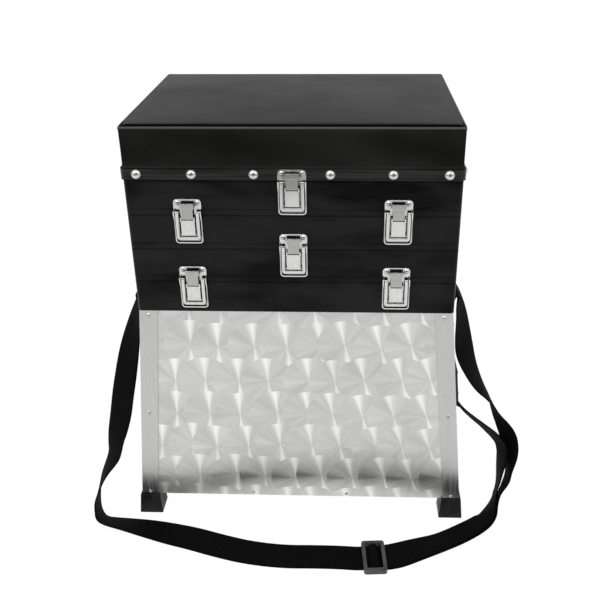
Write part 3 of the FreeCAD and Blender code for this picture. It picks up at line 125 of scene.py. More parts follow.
def math_node(tree, operation, *values):
    """A math node whose inputs are numbers or sockets. Returns its output."""
    node = tree.nodes.new("ShaderNodeMath")
    node.operation = operation
    for socket, value in zip(node.inputs, values):
        if isinstance(value, bpy.types.NodeSocket):
            tree.links.new(value, socket)
        else:
            socket.default_value = value
    return node.outputs[0]


def sees_background(tree):
    """1 for rays from the camera, off metal and through glass, else 0."""
    rays = tree.nodes.new("ShaderNodeLightPath").outputs
    seen = math_node(tree, "MAXIMUM", rays["Is Camera Ray"], rays["Is Glossy Ray"])
    return math_node(tree, "MAXIMUM", seen, rays["Is Transmission Ray"])


floor_finish, tree = bare_material("floor_white")
matt = tree.nodes.new("ShaderNodeBsdfDiffuse")
matt.inputs["Color"].default_value = (*SHEET_COLOUR, 1)
glow = tree.nodes.new("ShaderNodeEmission")
glow.inputs["Strength"].default_value = SHEET_GLOW
share = math_node(tree, "MULTIPLY", sees_background(tree), GLOW_SHARE)
blend = tree.nodes.new("ShaderNodeMixShader")
tree.links.new(share, blend.inputs["Fac"])
tree.links.new(matt.outputs[0], blend.inputs[1])
tree.links.new(glow.outputs[0], blend.inputs[2])
tree.links.new(blend.outputs[0], tree.nodes["Material Output"].inputs["Surface"])
floor.data.materials.append(floor_finish)

print("sheet", SHEET_WIDE, "by", SHEET_BACK - SHEET_FRONT)

# %% [markdown]
# The world is plain white to the camera, and a soft even light on matt parts. Mirrors see it
# dimmer in front and overhead.

# %% World
AMBIENT = 0.5
DIM_AHEAD = 0.16
DIM_OVERHEAD = 0.45
world = bpy.data.worlds.new("studio")
scene.world = world
world.use_nodes = True
tree = world.node_tree
tree.nodes.clear()
output = tree.nodes.new("ShaderNodeOutputWorld")


def span(tree, value, low, high, out_low=0.0, out_high=1.0):
    """value carried from low...high to out_low...out_high, and held at the ends."""
    node = tree.nodes.new("ShaderNodeMapRange")
    node.inputs["From Min"].default_value = low
    node.inputs["From Max"].default_value = high
    node.inputs["To Min"].default_value = out_low
    node.inputs["To Max"].default_value = out_high
    tree.links.new(value, node.inputs["Value"])
    return node.outputs["Result"]


way = tree.nodes.new("ShaderNodeSeparateXYZ")
tree.links.new(tree.nodes.new("ShaderNodeTexCoord").outputs["Generated"], way.inputs[0])
forward_dim = span(tree, way.outputs["Y"], -0.5, 0.1, DIM_AHEAD, 1.0)
overhead_dim = span(tree, way.outputs["Z"], 0.5, 0.85, 1.0, DIM_OVERHEAD)
mirrored = math_node(tree, "MULTIPLY", forward_dim, overhead_dim)
path = tree.nodes.new("ShaderNodeLightPath")
only_mirrors = tree.nodes.new("ShaderNodeMix")
only_mirrors.inputs[2].default_value = 1.0
tree.links.new(path.outputs["Is Glossy Ray"], only_mirrors.inputs[0])
tree.links.new(mirrored, only_mirrors.inputs[3])
white = tree.nodes.new("ShaderNodeBackground")
white.inputs["Color"].default_value = (1, 1, 1, 1)
tree.links.new(only_mirrors.outputs[0], white.inputs["Strength"])
ambient = tree.nodes.new("ShaderNodeBackground")
ambient.inputs["Color"].default_value = (AMBIENT, AMBIENT, AMBIENT, 1)
blend = tree.nodes.new("ShaderNodeMixShader")
tree.links.new(sees_background(tree), blend.inputs["Fac"])
tree.links.new(ambient.outputs[0], blend.inputs[1])
tree.links.new(white.outputs[0], blend.inputs[2])
tree.links.new(blend.outputs[0], output.inputs["Surface"])
print("world nodes", len(tree.nodes))

# %% [markdown]
# Three soft lamps give the highlights: a large one on each side and a long one over the front.

# %% Lamps
BOX_MIDDLE = Vector((0, 0, 0.25))


def soft_lamp(name, place, wide, tall, power):
    """A rectangular lamp that looks at the middle of the box."""
    bpy.ops.object.light_add(type="AREA", location=place)
    lamp = bpy.context.object
    lamp.name = name
    lamp.data.shape = "RECTANGLE"
    lamp.data.size = wide
    lamp.data.size_y = tall
    lamp.data.energy = power
    aim = BOX_MIDDLE - Vector(place)
    lamp.rotation_euler = aim.to_track_quat("-Z", "Y").to_euler()


soft_lamp("lamp_left", (-1.5, -1.6, 1.9), 1.4, 1.4, 22)
soft_lamp("lamp_right", (1.7, -1.2, 1.7), 1.2, 1.2, 12)
soft_lamp("lamp_over_front", (-0.1, -1.0, 2.2), 1.8, 0.5, 16)

# %% [markdown]
# The webbing is flat, so its route says two things at each station: where its middle line
# runs, and which way its width points. Both are read from smooth NURBS lines with the same
# number of points: one for the middle, and one for an edge.

# %% Webbing routes
# Up from the left clamp to a fold beside the collar. The right end is its mirror image.
CLAMP_END = [
    (-0.18231, -0.087, 0.256, 0, 1, 0),
    (-0.18147, -0.087, 0.265, 0, 1, 0),
    (-0.18064, -0.087, 0.274, 0, 1, 0),
    (-0.1804, -0.087, 0.278, 0, 1, 0),
    (-0.181, -0.087, 0.29, 0, 1, 0),
    (-0.1819, -0.087, 0.299, 0, 1, 0),
    (-0.1834, -0.087, 0.3045, 0, 1, 0),
    (-0.186, -0.087, 0.3066, 0, 1, 0),
    (-0.1885, -0.087, 0.3038, 0, 1, 0),
]
ACROSS_FRONT = [
    (-0.1896, -0.0875, 0.296, -0.15, 0.99, 0),
    (-0.1912, -0.0885, 0.282, -0.35, 0.94, 0),
    (-0.1958, -0.09, 0.266, -0.5, 0.87, 0),
    (-0.2042, -0.093, 0.235, -0.7, 0.71, 0),
    (-0.2103, -0.096, 0.2101, -0.78, 0.62, 0.05),
    (-0.2147, -0.1, 0.1886, -0.81, 0.59, 0.05),
    (-0.2195, -0.105, 0.1653, -0.82, 0.57, 0.03),
    (-0.2227, -0.109, 0.146, -0.82, 0.57, 0.02),
    (-0.2253, -0.112, 0.1338, -0.79, 0.62, 0.04),
    (-0.2286, -0.115, 0.1206, -0.75, 0.66, 0.01),
    (-0.2316, -0.119, 0.109, -0.7, 0.7, -0.12),
    (-0.2336, -0.125, 0.092, -0.62, 0.78, -0.11),
    (-0.2375, -0.128, 0.0825, -0.45, 0.89, -0.1),
    (-0.2432, -0.132, 0.0729, -0.35, 0.92, -0.19),
    (-0.2496, -0.137, 0.0612, -0.29, 0.92, -0.27),
    (-0.254, -0.1405, 0.0485, -0.25, 0.9, -0.35),
    (-0.2566, -0.144, 0.0375, -0.16, 0.88, -0.44),
    (-0.2574, -0.1485, 0.0275, -0.1, 0.82, -0.56),
    (-0.2556, -0.1535, 0.0188, -0.05, 0.78, -0.6),
    (-0.25, -0.1595, 0.0126, 0.05, 0.83, -0.55),
    (-0.239, -0.163, 0.0106, 0.15, 0.87, -0.47),
    (-0.219, -0.1645, 0.0082, 0.24, 0.91, -0.38),
    (-0.1845, -0.1685, 0.004, 0.3, 0.94, -0.16),
    (-0.157, -0.1738, 0.0018, 0.3, 0.95, -0.04),
    (-0.1307, -0.1799, 0.0011, 0.27, 0.96, 0),
    (-0.0998, -0.1902, 0.001, 0.27, 0.96, 0),
    (-0.06, -0.2015, 0.001, 0.2, 0.98, 0),
    (-0.015, -0.207, 0.001, 0.03, 1, 0),
    (0.02, -0.206, 0.001, 0, 1, 0),
    (0.054, -0.2063, 0.001, 0, 1, 0),
    (0.072, -0.2079, 0.0013, -0.02, 1, 0),
    (0.082, -0.2083, 0.0024, -0.05, 1, 0),
    (0.0866, -0.20885, 0.003, -0.07, 1, 0),
    (0.0906, -0.20865, 0.0067, -0.07, 1, 0),
    (0.0924, -0.20852, 0.00715, -0.07, 1, 0),
    (0.094, -0.2084, 0.00725, -0.07, 1, 0),
    (0.0956, -0.2083, 0.00715, -0.07, 1, 0),
    (0.0974, -0.20815, 0.0067, -0.08, 1, 0),
    (0.1013, -0.20715, 0.0017, -0.11, 0.99, 0),
    (0.105, -0.2065, 0.0012, -0.15, 0.99, 0),
    (0.112, -0.2052, 0.00105, -0.2, 0.98, 0),
    (0.124, -0.2021, 0.00135, -0.27, 0.96, 0),
    (0.143, -0.1956, 0.0032, -0.35, 0.93, -0.1),
    (0.1743, -0.1864, 0.0068, -0.42, 0.86, -0.29),
    (0.1999, -0.1734, 0.0084, -0.5, 0.81, -0.3),
    (0.2256, -0.1626, 0.0156, -0.55, 0.7, -0.42),
    (0.2359, -0.156, 0.0206, -0.45, 0.68, -0.58),
    (0.2425, -0.146, 0.026, -0.25, 0.62, -0.74),
    (0.2496, -0.1365, 0.0345, 0.12, 0.82, -0.56),
    (0.2548, -0.13, 0.0425, 0.14, 0.84, -0.51),
    (0.26, -0.125, 0.048, 0.1, 0.89, -0.45),
    (0.2648, -0.118, 0.0557, 0.07, 0.95, -0.3),
    (0.2648, -0.115, 0.0676, -0.01, 0.97, -0.26),
    (0.2658, -0.112, 0.078, -0.16, 0.95, -0.27),
    (0.2658, -0.109, 0.0882, -0.33, 0.91, -0.25),
    (0.2645, -0.106, 0.1015, -0.43, 0.86, -0.27),
    (0.2603, -0.103, 0.1162, -0.45, 0.82, -0.36),
    (0.2522, -0.1, 0.1307, -0.33, 0.88, -0.34),
    (0.2442, -0.098, 0.1442, -0.15, 0.96, -0.23),
    (0.239, -0.096, 0.1562, -0.02, 0.98, -0.18),
    (0.2306, -0.094, 0.1681, 0.06, 0.99, -0.11),
    (0.2205, -0.092, 0.1813, 0.25, 0.97, 0.04),
    (0.2108, -0.09, 0.2002, 0.41, 0.91, 0.09),
    (0.2012, -0.088, 0.2255, 0.62, 0.78, 0.1),
    (0.1974, -0.0875, 0.249, 0.55, 0.83, 0),
    (0.194, -0.0872, 0.275, 0.38, 0.92, 0),
    (0.189, -0.087, 0.296, 0.2, 0.98, 0),
]
RIGHT_END = [(-row[0], *row[1:]) for row in reversed(CLAMP_END)]
SHOULDER_ROUTE = CLAMP_END + ACROSS_FRONT + RIGHT_END
RETURN_ROUTE = [
    (0.18705, -0.087, 0.205, 0, 1, 0),
    (0.18844, -0.087, 0.19, 0, 1, 0),
    (0.18975, -0.087, 0.176, 0, 1, 0),
    (0.19068, -0.087, 0.166, 0, 1, 0),
    (0.19092, -0.087, 0.1636, 0, 1, 0),
    (0.19122, -0.087, 0.1615, 0, 1, 0),
    (0.1924, -0.087, 0.158, 0, 1, 0),
    (0.1952, -0.0874, 0.1538, -0.06, 1, 0),
    (0.1995, -0.088, 0.1485, -0.2, 0.97, -0.11),
    (0.2102, -0.09, 0.1351, -0.38, 0.9, -0.2),
    (0.2257, -0.093, 0.1226, -0.46, 0.86, -0.23),
    (0.2378, -0.0955, 0.1137, -0.47, 0.85, -0.24),
    (0.2463, -0.097, 0.1053, -0.44, 0.86, -0.26),
    (0.2541, -0.099, 0.0962, -0.36, 0.89, -0.26),
    (0.2569, -0.101, 0.0875, -0.2, 0.94, -0.3),
    (0.257, -0.104, 0.0778, -0.12, 0.93, -0.35),
    (0.2562, -0.106, 0.0644, -0.06, 0.92, -0.36),
    (0.25395, -0.11554, 0.04398, 0.1, 0.89, -0.45),
    (0.25054, -0.12365, 0.04037, 0.14, 0.84, -0.51),
    (0.24597, -0.13291, 0.03373, 0.12, 0.82, -0.56),
    (0.23923, -0.14505, 0.0279, -0.25, 0.62, -0.74),
    (0.23357, -0.15528, 0.02325, -0.45, 0.68, -0.58),
    (0.22451, -0.16202, 0.018, -0.55, 0.7, -0.42),
    (0.19933, -0.17296, 0.01053, -0.5, 0.81, -0.3),
    (0.1739, -0.18587, 0.00895, -0.42, 0.86, -0.29),
    (0.14272, -0.19547, 0.00543, -0.35, 0.93, -0.1),
    (0.12386, -0.20214, 0.0036, -0.27, 0.96, 0),
    (0.11198, -0.2052, 0.0033, -0.2, 0.98, 0),
    (0.1036, -0.20648, 0.00315, -0.15, 0.99, 0),
]
WEBBING_WIDTH = 0.038
WEBBING_THICKNESS = 0.0018
print("stations", len(SHOULDER_ROUTE), len(RETURN_ROUTE))


# %% [markdown]
# A few helpers come before the pieces. One reads points from a smooth NURBS line, and one
# turns a bmesh into an object that sits at the origin, with its place in its mesh.

# %% Helpers for pieces
def select_only(piece):
    """Nothing else stays selected, because an operator acts on all that is."""
    bpy.ops.object.select_all(action="DESELECT")
    piece.select_set(True)
    bpy.context.view_layer.objects.active = piece


def smooth_line(points):
    """Points on the NURBS line through these control points."""
    curve = bpy.data.curves.new("line", "CURVE")
    curve.dimensions = "3D"
    curve.resolution_u = 6
    spline = curve.splines.new("NURBS")
    spline.points.add(len(points) - 1)
    for point, place in zip(spline.points, points):
        point.co = (*place, 1)
    spline.order_u = 3
    spline.use_endpoint_u = True
    holder = bpy.data.objects.new("line", curve)
    mesh = bpy.data.meshes.new_from_object(holder)
    places = [vertex.co.copy() for vertex in mesh.vertices]
    bpy.data.objects.remove(holder)
    bpy.data.meshes.remove(mesh)
    return places


def new_piece(name, mesh_builder, smooth):
    """An object at the origin whose mesh comes from a bmesh."""
    mesh = bpy.data.meshes.new(name)
    mesh_builder.to_mesh(mesh)
    mesh_builder.free()
    piece = bpy.data.objects.new(name, mesh)
    scene.collection.objects.link(piece)
    select_only(piece)
    bpy.ops.object.shade_smooth_by_angle(angle=math.radians(smooth))
    return piece


# %% [markdown]
# Nylon webbing is woven flat with a rounded edge. Its mesh is a thin ring of points moved
# along the route. The mesh keeps the distance along the strap as a UV map, so the weave
# follows every turn.

# %% Webbing
PROFILE = [(-1.0, 0.0), (-0.985, 0.7), (-0.94, 1.0), (-0.5, 1.0), (0.0, 1.0), (0.5, 1.0)]
PROFILE += [(0.94, 1.0), (0.985, 0.7), (1.0, 0.0), (0.985, -0.7), (0.94, -1.0)]
PROFILE += [(0.5, -1.0), (0.0, -1.0), (-0.5, -1.0), (-0.94, -1.0), (-0.985, -0.7)]


def make_webbing(name, route):
    """A flat strap along a route. Returns it with the line that it follows."""
    middle = smooth_line([row[:3] for row in route])
    edge = smooth_line([Vector(row[:3]) + Vector(row[3:]) * WEBBING_WIDTH / 2 for row in route])
    build = bmesh.new()
    uv = build.loops.layers.uv.new("along")
    rings = []
    lengths = []
    travelled = 0
    for index, place in enumerate(middle):
        ahead = middle[min(index + 1, len(middle) - 1)]
        behind = middle[max(index - 1, 0)]
        if index:
            travelled += (place - middle[index - 1]).length
        along = (ahead - behind).normalized()
        across = edge[index] - place
        across = (across - along * across.dot(along)).normalized()
        normal = along.cross(across)
        ring = []
        for u, v in PROFILE:
            offset = across * (u * WEBBING_WIDTH / 2) + normal * (v * WEBBING_THICKNESS / 2)
            ring.append(build.verts.new(place + offset))
        rings.append(ring)
        lengths.append(travelled)
    count = len(PROFILE)
    for index in range(len(rings) - 1):
        for k in range(count):
            n = (k + 1) % count
            quad = (rings[index][k], rings[index][n], rings[index + 1][n], rings[index + 1][k])
            face = build.faces.new(quad)
            spots = ((index, k), (index, n), (index + 1, n), (index + 1, k))
            for loop, (row, column) in zip(face.loops, spots):
                loop[uv].uv = (lengths[row], PROFILE[column][0] * WEBBING_WIDTH / 2)
    build.faces.new(list(reversed(rings[0])))
    build.faces.new(rings[-1])
    bmesh.ops.recalc_face_normals(build, faces=build.faces)
    piece = new_piece(name, build, 50)
    print(name, "length", round(travelled, 3), "faces", len(piece.data.polygons))
    return piece, middle, travelled


shoulder_strap, shoulder_line, shoulder_length = make_webbing("shoulder_webbing", SHOULDER_ROUTE)
return_strap, return_line, return_length = make_webbing("return_webbing", RETURN_ROUTE)
for strap, node in ((shoulder_strap, "shoulder_strap"), (return_strap, "strap_return")):
    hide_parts(node)
    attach(strap, "base")

# %% [markdown]
# The cushion is foam on a board under stretched vinyl. Where the top panel meets the front, the
# seam stands up as a round bead with a valley behind it. At the other edges the vinyl rolls over.
# The sides are nearly flat, and the middle of the top stands a little proud. It is drawn as
# nested rounded rectangles.

# %% Cushion
cover_low, cover_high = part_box("seat_cover")
CORNER = 0.0026
half_x = (cover_high[0] - cover_low[0]) / 2
half_y = (cover_high[1] - cover_low[1]) / 2
base_z = cover_low[2]
top_z = cover_high[2]


def rounded_ring(build, inset, height, shape=None):
    """A ring of points round a rounded rectangle that is inset from the cushion's outline."""
    ring = []
    reach_x = half_x - inset
    reach_y = half_y - inset
    radius = max(CORNER - inset * 0.5, 0.0008)
    long_side = 46
    short_side = 34
    for sx, sy, quarter in ((1, 1, 0), (-1, 1, 1), (-1, -1, 2), (1, -1, 3)):
        for step in range(5):
            angle = (quarter + step / 4) * math.pi / 2
            x = sx * (reach_x - radius) + radius * math.cos(angle)
            y = sy * (reach_y - radius) + radius * math.sin(angle)
            ring.append(Vector((x, y, height)))
        start = ring[-1]
        nx, ny = ((-1, 1), (-1, -1), (1, -1), (1, 1))[quarter]
        angle = (quarter + 1) * math.pi / 2
        end_x = nx * (reach_x - radius) + radius * math.cos(angle)
        end_y = ny * (reach_y - radius) + radius * math.sin(angle)
        end = Vector((end_x, end_y, height))
        cuts = long_side if quarter % 2 == 0 else short_side
        for cut in range(1, cuts):
            ring.append(start.lerp(end, cut / cuts))
    if shape:
        ring = [shape(point) for point in ring]
    return [build.verts.new(point) for point in ring]


print("cushion", round(2 * half_x, 4), "by", round(2 * half_y, 4))


# %% Cushion top and sides
def swell(point):
    """How far the foam stands up under the vinyl, from 0 at the edge to 1 in the middle."""
    x = min(abs(point.x) / half_x, 1)
    y = min(abs(point.y) / half_y, 1)
    return (1 - x**6) * (1 - y**4)


def ripple(point):
    """Small unevenness of stretched vinyl, in metres."""
    wave = math.sin(point.x * 61 + 0.7) * math.cos(point.y * 53 - 0.4)
    fine = math.sin(point.x * 143 + point.y * 91) * 0.35
    from_middle = min(abs(point.y) / 0.06, 1)
    return (wave + fine) * 0.00010 * from_middle**2


CROWN = 0.0012
EDGE_Z = top_z - CROWN - 0.0001


def top_point(point):
    height = EDGE_Z - 0.0004 + (CROWN + ripple(point)) * swell(point)
    return Vector((point.x, point.y, height))


def side_point(point):
    """Pulls the side in where it is stapled under the trim."""
    share = (point.z - base_z) / (EDGE_Z - base_z)
    along = point.x if abs(point.y) > half_y * 0.93 else point.y
    tension = math.cos(along * math.tau / 0.068) * max(0, 1 - share * 3.2) * 0.0002
    slack = math.sin(along * 37 + point.z * 90) * 0.0003 * math.sin(math.pi * share)
    pull = 0.0006 * math.sin(math.pi * share) - tension - slack
    middle = Vector((point.x, point.y, 0))
    inward = Vector((0, 0, 0))
    if abs(point.y) > half_y * 0.93:
        inward.y = -math.copysign(pull, middle.y)
    else:
        inward.x = -math.copysign(pull, middle.x)
    return point + inward


# %% Cushion from the band up its sides
build = bmesh.new()
rings = []
rings.append(rounded_ring(build, 0.0030, base_z + 0.0001))
HEM = [(-0.0008, 0.0001), (-0.0011, 0.0006), (-0.0006, 0.0012), (0.0004, 0.0017)]
for inset, rise in HEM:
    rings.append(rounded_ring(build, inset, base_z + rise))
SIDE_TOP = EDGE_Z - 0.0016
SIDE_INSET = 0.0007
for share in (0.07, 0.11, 0.17, 0.28, 0.42, 0.56, 0.7, 0.80, 0.86):
    height = base_z + (SIDE_TOP - base_z) * share
    rings.append(rounded_ring(build, SIDE_INSET, height, side_point))
print("rings", len(rings))

# %% Cushion edge: a seam at the front, rolled over elsewhere
ROLL_LOW = 0.0004
ROLL_DEEP = 0.0030
ROLL_RADIUS = 0.0010
ROLL_INSET = 0.0010
ROLL_LIP = 0.0005
ROLL_STARTS = -0.0031
SEAM_ENDS = 0.010
SEAM_FADES = 0.004
BEAD = [(0.0008, -0.0062), (0.0007, -0.0052), (0.0004, -0.0043), (0.0003, -0.0034)]
BEAD += [(0.0006, -0.0025), (0.0012, -0.0019), (0.0019, -0.0018), (0.0025, -0.0022)]
BEAD += [(0.0030, -0.0031), (0.0035, -0.0042), (0.0042, -0.0043), (0.0048, -0.0031)]
BEAD += [(0.0056, -0.0013), (0.0068, -0.0005), (0.0085, -0.0004)]


def rolled_drop(inset, drop):
    """How far below the edge the vinyl is where it rolls over without a seam."""
    if drop < ROLL_STARTS and inset < ROLL_INSET:
        return drop
    rolled = -ROLL_LOW - ROLL_DEEP * math.exp(-inset / ROLL_RADIUS)
    return min(drop, rolled) if inset < ROLL_LIP else rolled


def edge_ring(build, inset, drop):
    """A ring of the edge. The seam is at the front, and elsewhere the vinyl rolls over."""
    rolled = rolled_drop(inset, drop)

    def seam_point(point):
        share = min(max((SEAM_ENDS - half_y - point.y) / SEAM_FADES, 0), 1)
        return Vector((point.x, point.y, EDGE_Z + rolled + (drop - rolled) * share))

    return rounded_ring(build, inset, EDGE_Z, seam_point)


for inset, drop in BEAD:
    rings.append(edge_ring(build, inset, drop))
for inset in (0.0105, 0.014, 0.018, 0.026, 0.037, 0.05, 0.066, 0.084, 0.102, 0.118, 0.127):
    rings.append(rounded_ring(build, inset, EDGE_Z, top_point))
print("rings", len(rings))

# %% Cushion mesh
for lower, upper in zip(rings, rings[1:]):
    for k in range(len(lower)):
        n = (k + 1) % len(lower)
        build.faces.new((lower[k], lower[n], upper[n], upper[k]))
seam = [build.edges.get((a, b)) for a, b in zip(rings[-1], rings[-1][1:] + rings[-1][:1])]
bmesh.ops.triangle_fill(build, use_beauty=True, edges=seam)
build.faces.new(list(reversed(rings[0])))
bmesh.ops.recalc_face_normals(build, faces=build.faces)
cushion = new_piece("seat_cushion", build, 60)
select_only(cushion)
finer = cushion.modifiers.new("finer", "SUBSURF")
finer.levels = 1
finer.render_levels = 1
bpy.ops.object.modifier_apply(modifier="finer")
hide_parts("seat_cover", "seat_foam")
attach(cushion, "lid")
print("cushion faces", len(cushion.data.polygons))

# %% [markdown]
# Real pressed and moulded parts have no knife edges: a fine rounding on each edge catches a
# line of light. The CAD parts are left as they are. A copy of each is merged into clean faces,
# its sharp edges are bevelled, and the copy stands for the part. Weighted normals keep the
# flats looking flat between their rounded edges.

# %% Rounded copies of hard parts
body_of = {}
for body, members in frame["record"]["behaviour"]["bodies"].items():
    for member in members:
        body_of[member] = body
slot_of = {row["node"]: row["material_slot"] for row in frame["record"]["subparts"]}


ROUND_OVER = math.radians(38)


def rounded_copy(node, width):
    """A copy of a CAD part with its sharp edges rounded by width metres."""
    mesh = nodes[node].data.copy()
    piece = bpy.data.objects.new(f"{node}_rounded", mesh)
    scene.collection.objects.link(piece)
    select_only(piece)
    bpy.ops.object.mode_set(mode="EDIT")
    bpy.ops.mesh.select_all(action="SELECT")
    bpy.ops.mesh.remove_doubles(threshold=0.000002)
    bpy.ops.mesh.dissolve_limited(angle_limit=math.radians(0.6))
    bpy.ops.object.mode_set(mode="OBJECT")
    bevel = piece.modifiers.new("edge", "BEVEL")
    bevel.width = width
    bevel.segments = 2
    bevel.limit_method = "ANGLE"
    bevel.angle_limit = ROUND_OVER
    bevel.use_clamp_overlap = True
    bevel.harden_normals = False
    bpy.ops.object.modifier_apply(modifier="edge")
    bpy.ops.object.shade_smooth_by_angle(angle=math.radians(50))
    flats = piece.modifiers.new("flats", "WEIGHTED_NORMAL")
    flats.keep_sharp = True
    bpy.ops.object.modifier_apply(modifier="flats")
    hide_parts(node)
    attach(piece, body_of[node])
    return piece


# %% How far each part is rounded
LEVER_EDGE = 0.00022
PRESSED_EDGE = 0.00030
MOULDED_EDGE = 0.0004
SLIDER_EDGE = 0.0008
THICK_EDGE = 0.0009
LATCHES = ("lower_left", "lower_right", "middle", "upper_left", "upper_right", "lid")
ROUNDINGS = {}
for latch in LATCHES:
    ROUNDINGS[f"lever_{latch}"] = LEVER_EDGE
    ROUNDINGS[f"hook_{latch}"] = PRESSED_EDGE
for module in ("tray_1", "tray_2", "tray_3", "lid"):
    ROUNDINGS[f"{module}_keepers"] = PRESSED_EDGE
for module in ("collar", "tray_1", "tray_2", "tray_3"):
    ROUNDINGS[f"{module}_latch_plates"] = PRESSED_EDGE
for node in ("tray_1", "tray_2", "tray_3", "collar", "trim_band"):
    ROUNDINGS[node] = MOULDED_EDGE
for across in ("left", "right"):
    ROUNDINGS[f"corner_profile_front_{across}"] = MOULDED_EDGE
    ROUNDINGS[f"corner_profile_rear_{across}"] = MOULDED_EDGE
    ROUNDINGS[f"foot_front_{across}"] = THICK_EDGE
    ROUNDINGS[f"foot_rear_{across}"] = THICK_EDGE
    ROUNDINGS[f"strap_clamp_{across}"] = MOULDED_EDGE
ROUNDINGS["strap_bracket_right"] = THICK_EDGE
ROUNDINGS["strap_slider"] = SLIDER_EDGE
rounded = {}
for node, width in ROUNDINGS.items():
    rounded[node] = rounded_copy(node, width)
print("rounded copies", len(rounded))

# %% [markdown]
# Both straps are limp and flat. Each is built along its middle line, and its length along
# the webbing comes back with it.

# %% [markdown]
# Finishes. What several materials share, such as grain, edge lightening and unevenness, is a shader
# node group with named inputs, placed in each material with its own values.


# %% Node helpers
def vector_node(tree, operation, *values):
    """A vector math node whose inputs are vectors or sockets. Returns its vector output."""
    node = tree.nodes.new("ShaderNodeVectorMath")
    node.operation = operation
    for socket, value in zip(node.inputs, values):
        if isinstance(value, bpy.types.NodeSocket):
            tree.links.new(value, socket)
        else:
            socket.default_value = value
    return node.outputs["Value"] if operation == "LENGTH" else node.outputs["Vector"]


def new_group(name, inputs, outputs):
    """A shader group. inputs and outputs are (name, socket type, default) rows."""
    group = bpy.data.node_groups.new(name, "ShaderNodeTree")
    for label, kind, default in inputs:
        socket = group.interface.new_socket(label, in_out="INPUT", socket_type=kind)
        if default is not None:
            socket.default_value = default
    for label, kind in outputs:
        group.interface.new_socket(label, in_out="OUTPUT", socket_type=kind)
    start = group.nodes.new("NodeGroupInput")
    end = group.nodes.new("NodeGroupOutput")
    return group, start, end


def place_group(tree, group, **values):
    """An instance of a group in a tree, with its inputs set or linked."""
    node = tree.nodes.new("ShaderNodeGroup")
    node.node_tree = group
    for label, value in values.items():
        socket = node.inputs[label.replace("_", " ")]
        if isinstance(value, bpy.types.NodeSocket):
            tree.links.new(value, socket)
        else:
            socket.default_value = value
    return node


def two_tone(tree, factor, dark, light):
    """A colour between two, by a factor."""
    node = tree.nodes.new("ShaderNodeMix")
    node.data_type = "RGBA"
    node.inputs[6].default_value = (*dark, 1)
    node.inputs[7].default_value = (*light, 1)
    tree.links.new(factor, node.inputs[0])
    return node.outputs[2]


def cover(tree, mask, under, tone):
    """A colour socket with a plain tone laid over it where the mask is 1."""
    node = tree.nodes.new("ShaderNodeMix")
    node.data_type = "RGBA"
    node.inputs[7].default_value = (*tone, 1)
    tree.links.new(mask, node.inputs[0])
    tree.links.new(under, node.inputs[6])
    return node.outputs[2]


# %% [markdown]
# Two groups that most finishes share. Unevenness is a soft noise with its own stretch and
# contrast. Edge lightening uses the mesh's pointiness, broken up by the first group: it marks
# sharp outer edges for a painted highlight, in patches.

# %% Group: unevenness
FLOAT = "NodeSocketFloat"
VECTOR = "NodeSocketVector"
unevenness, start, end = new_group(
    "Unevenness",
    [
        ("Stretch", VECTOR, (1, 1, 1)),
        ("Scale", FLOAT, 40.0),
        ("Low", FLOAT, 0.35),
        ("High", FLOAT, 0.65),
    ],
    [("Value", FLOAT)],
)
place = unevenness.nodes.new("ShaderNodeTexCoord").outputs["Object"]
stretched = vector_node(unevenness, "MULTIPLY", place, start.outputs["Stretch"])
noise = unevenness.nodes.new("ShaderNodeTexNoise")
noise.inputs["Detail"].default_value = 3
unevenness.links.new(stretched, noise.inputs["Vector"])
unevenness.links.new(start.outputs["Scale"], noise.inputs["Scale"])
band = unevenness.nodes.new("ShaderNodeMapRange")
unevenness.links.new(noise.outputs["Fac"], band.inputs["Value"])
unevenness.links.new(start.outputs["Low"], band.inputs["From Min"])
unevenness.links.new(start.outputs["High"], band.inputs["From Max"])
unevenness.links.new(band.outputs["Result"], end.inputs["Value"])
print("unevenness nodes", len(unevenness.nodes))

# %% Group: edge lightening, for a painted edge highlight
edge_lightening, start, end = new_group(
    "Edge lightening", [("Sharpness", FLOAT, 0.54), ("Patchiness", FLOAT, 90.0)], [("Value", FLOAT)]
)
point = edge_lightening.nodes.new("ShaderNodeNewGeometry").outputs["Pointiness"]
edge_mask = edge_lightening.nodes.new("ShaderNodeMapRange")
edge_lightening.links.new(point, edge_mask.inputs["Value"])
edge_lightening.links.new(start.outputs["Sharpness"], edge_mask.inputs["From Min"])
edge_mask.inputs["From Max"].default_value = 0.62
patches = place_group(edge_lightening, unevenness, Low=0.4, High=0.6)
edge_lightening.links.new(start.outputs["Patchiness"], patches.inputs["Scale"])
shown = math_node(edge_lightening, "MULTIPLY", edge_mask.outputs["Result"], patches.outputs["Value"])
edge_lightening.links.new(shown, end.inputs["Value"])
print("edge lightening nodes", len(edge_lightening.nodes))


# %% [markdown]
# Pressed and plated parts get a painted highlight on every edge and painted shade in their
# crevices.
# The Bevel node tells how fast a surface turns within a small radius, and Ambient Occlusion how
# deep a point sits between its neighbours.

# %% Group: painted edge highlight
edge_highlights, start, end = new_group(
    "Painted edge highlight", [("Radius", FLOAT, 0.0006)], [("Value", FLOAT)]
)
rounder = edge_highlights.nodes.new("ShaderNodeBevel")
rounder.samples = 4
edge_highlights.links.new(start.outputs["Radius"], rounder.inputs["Radius"])
own = edge_highlights.nodes.new("ShaderNodeNewGeometry").outputs["True Normal"]
agreement = edge_highlights.nodes.new("ShaderNodeVectorMath")
agreement.operation = "DOT_PRODUCT"
edge_highlights.links.new(rounder.outputs[0], agreement.inputs[0])
edge_highlights.links.new(own, agreement.inputs[1])
turned = span(edge_highlights, agreement.outputs["Value"], 0.99, 0.86)
edge_highlights.links.new(turned, end.inputs["Value"])
print("bright edges nodes", len(edge_highlights.nodes))
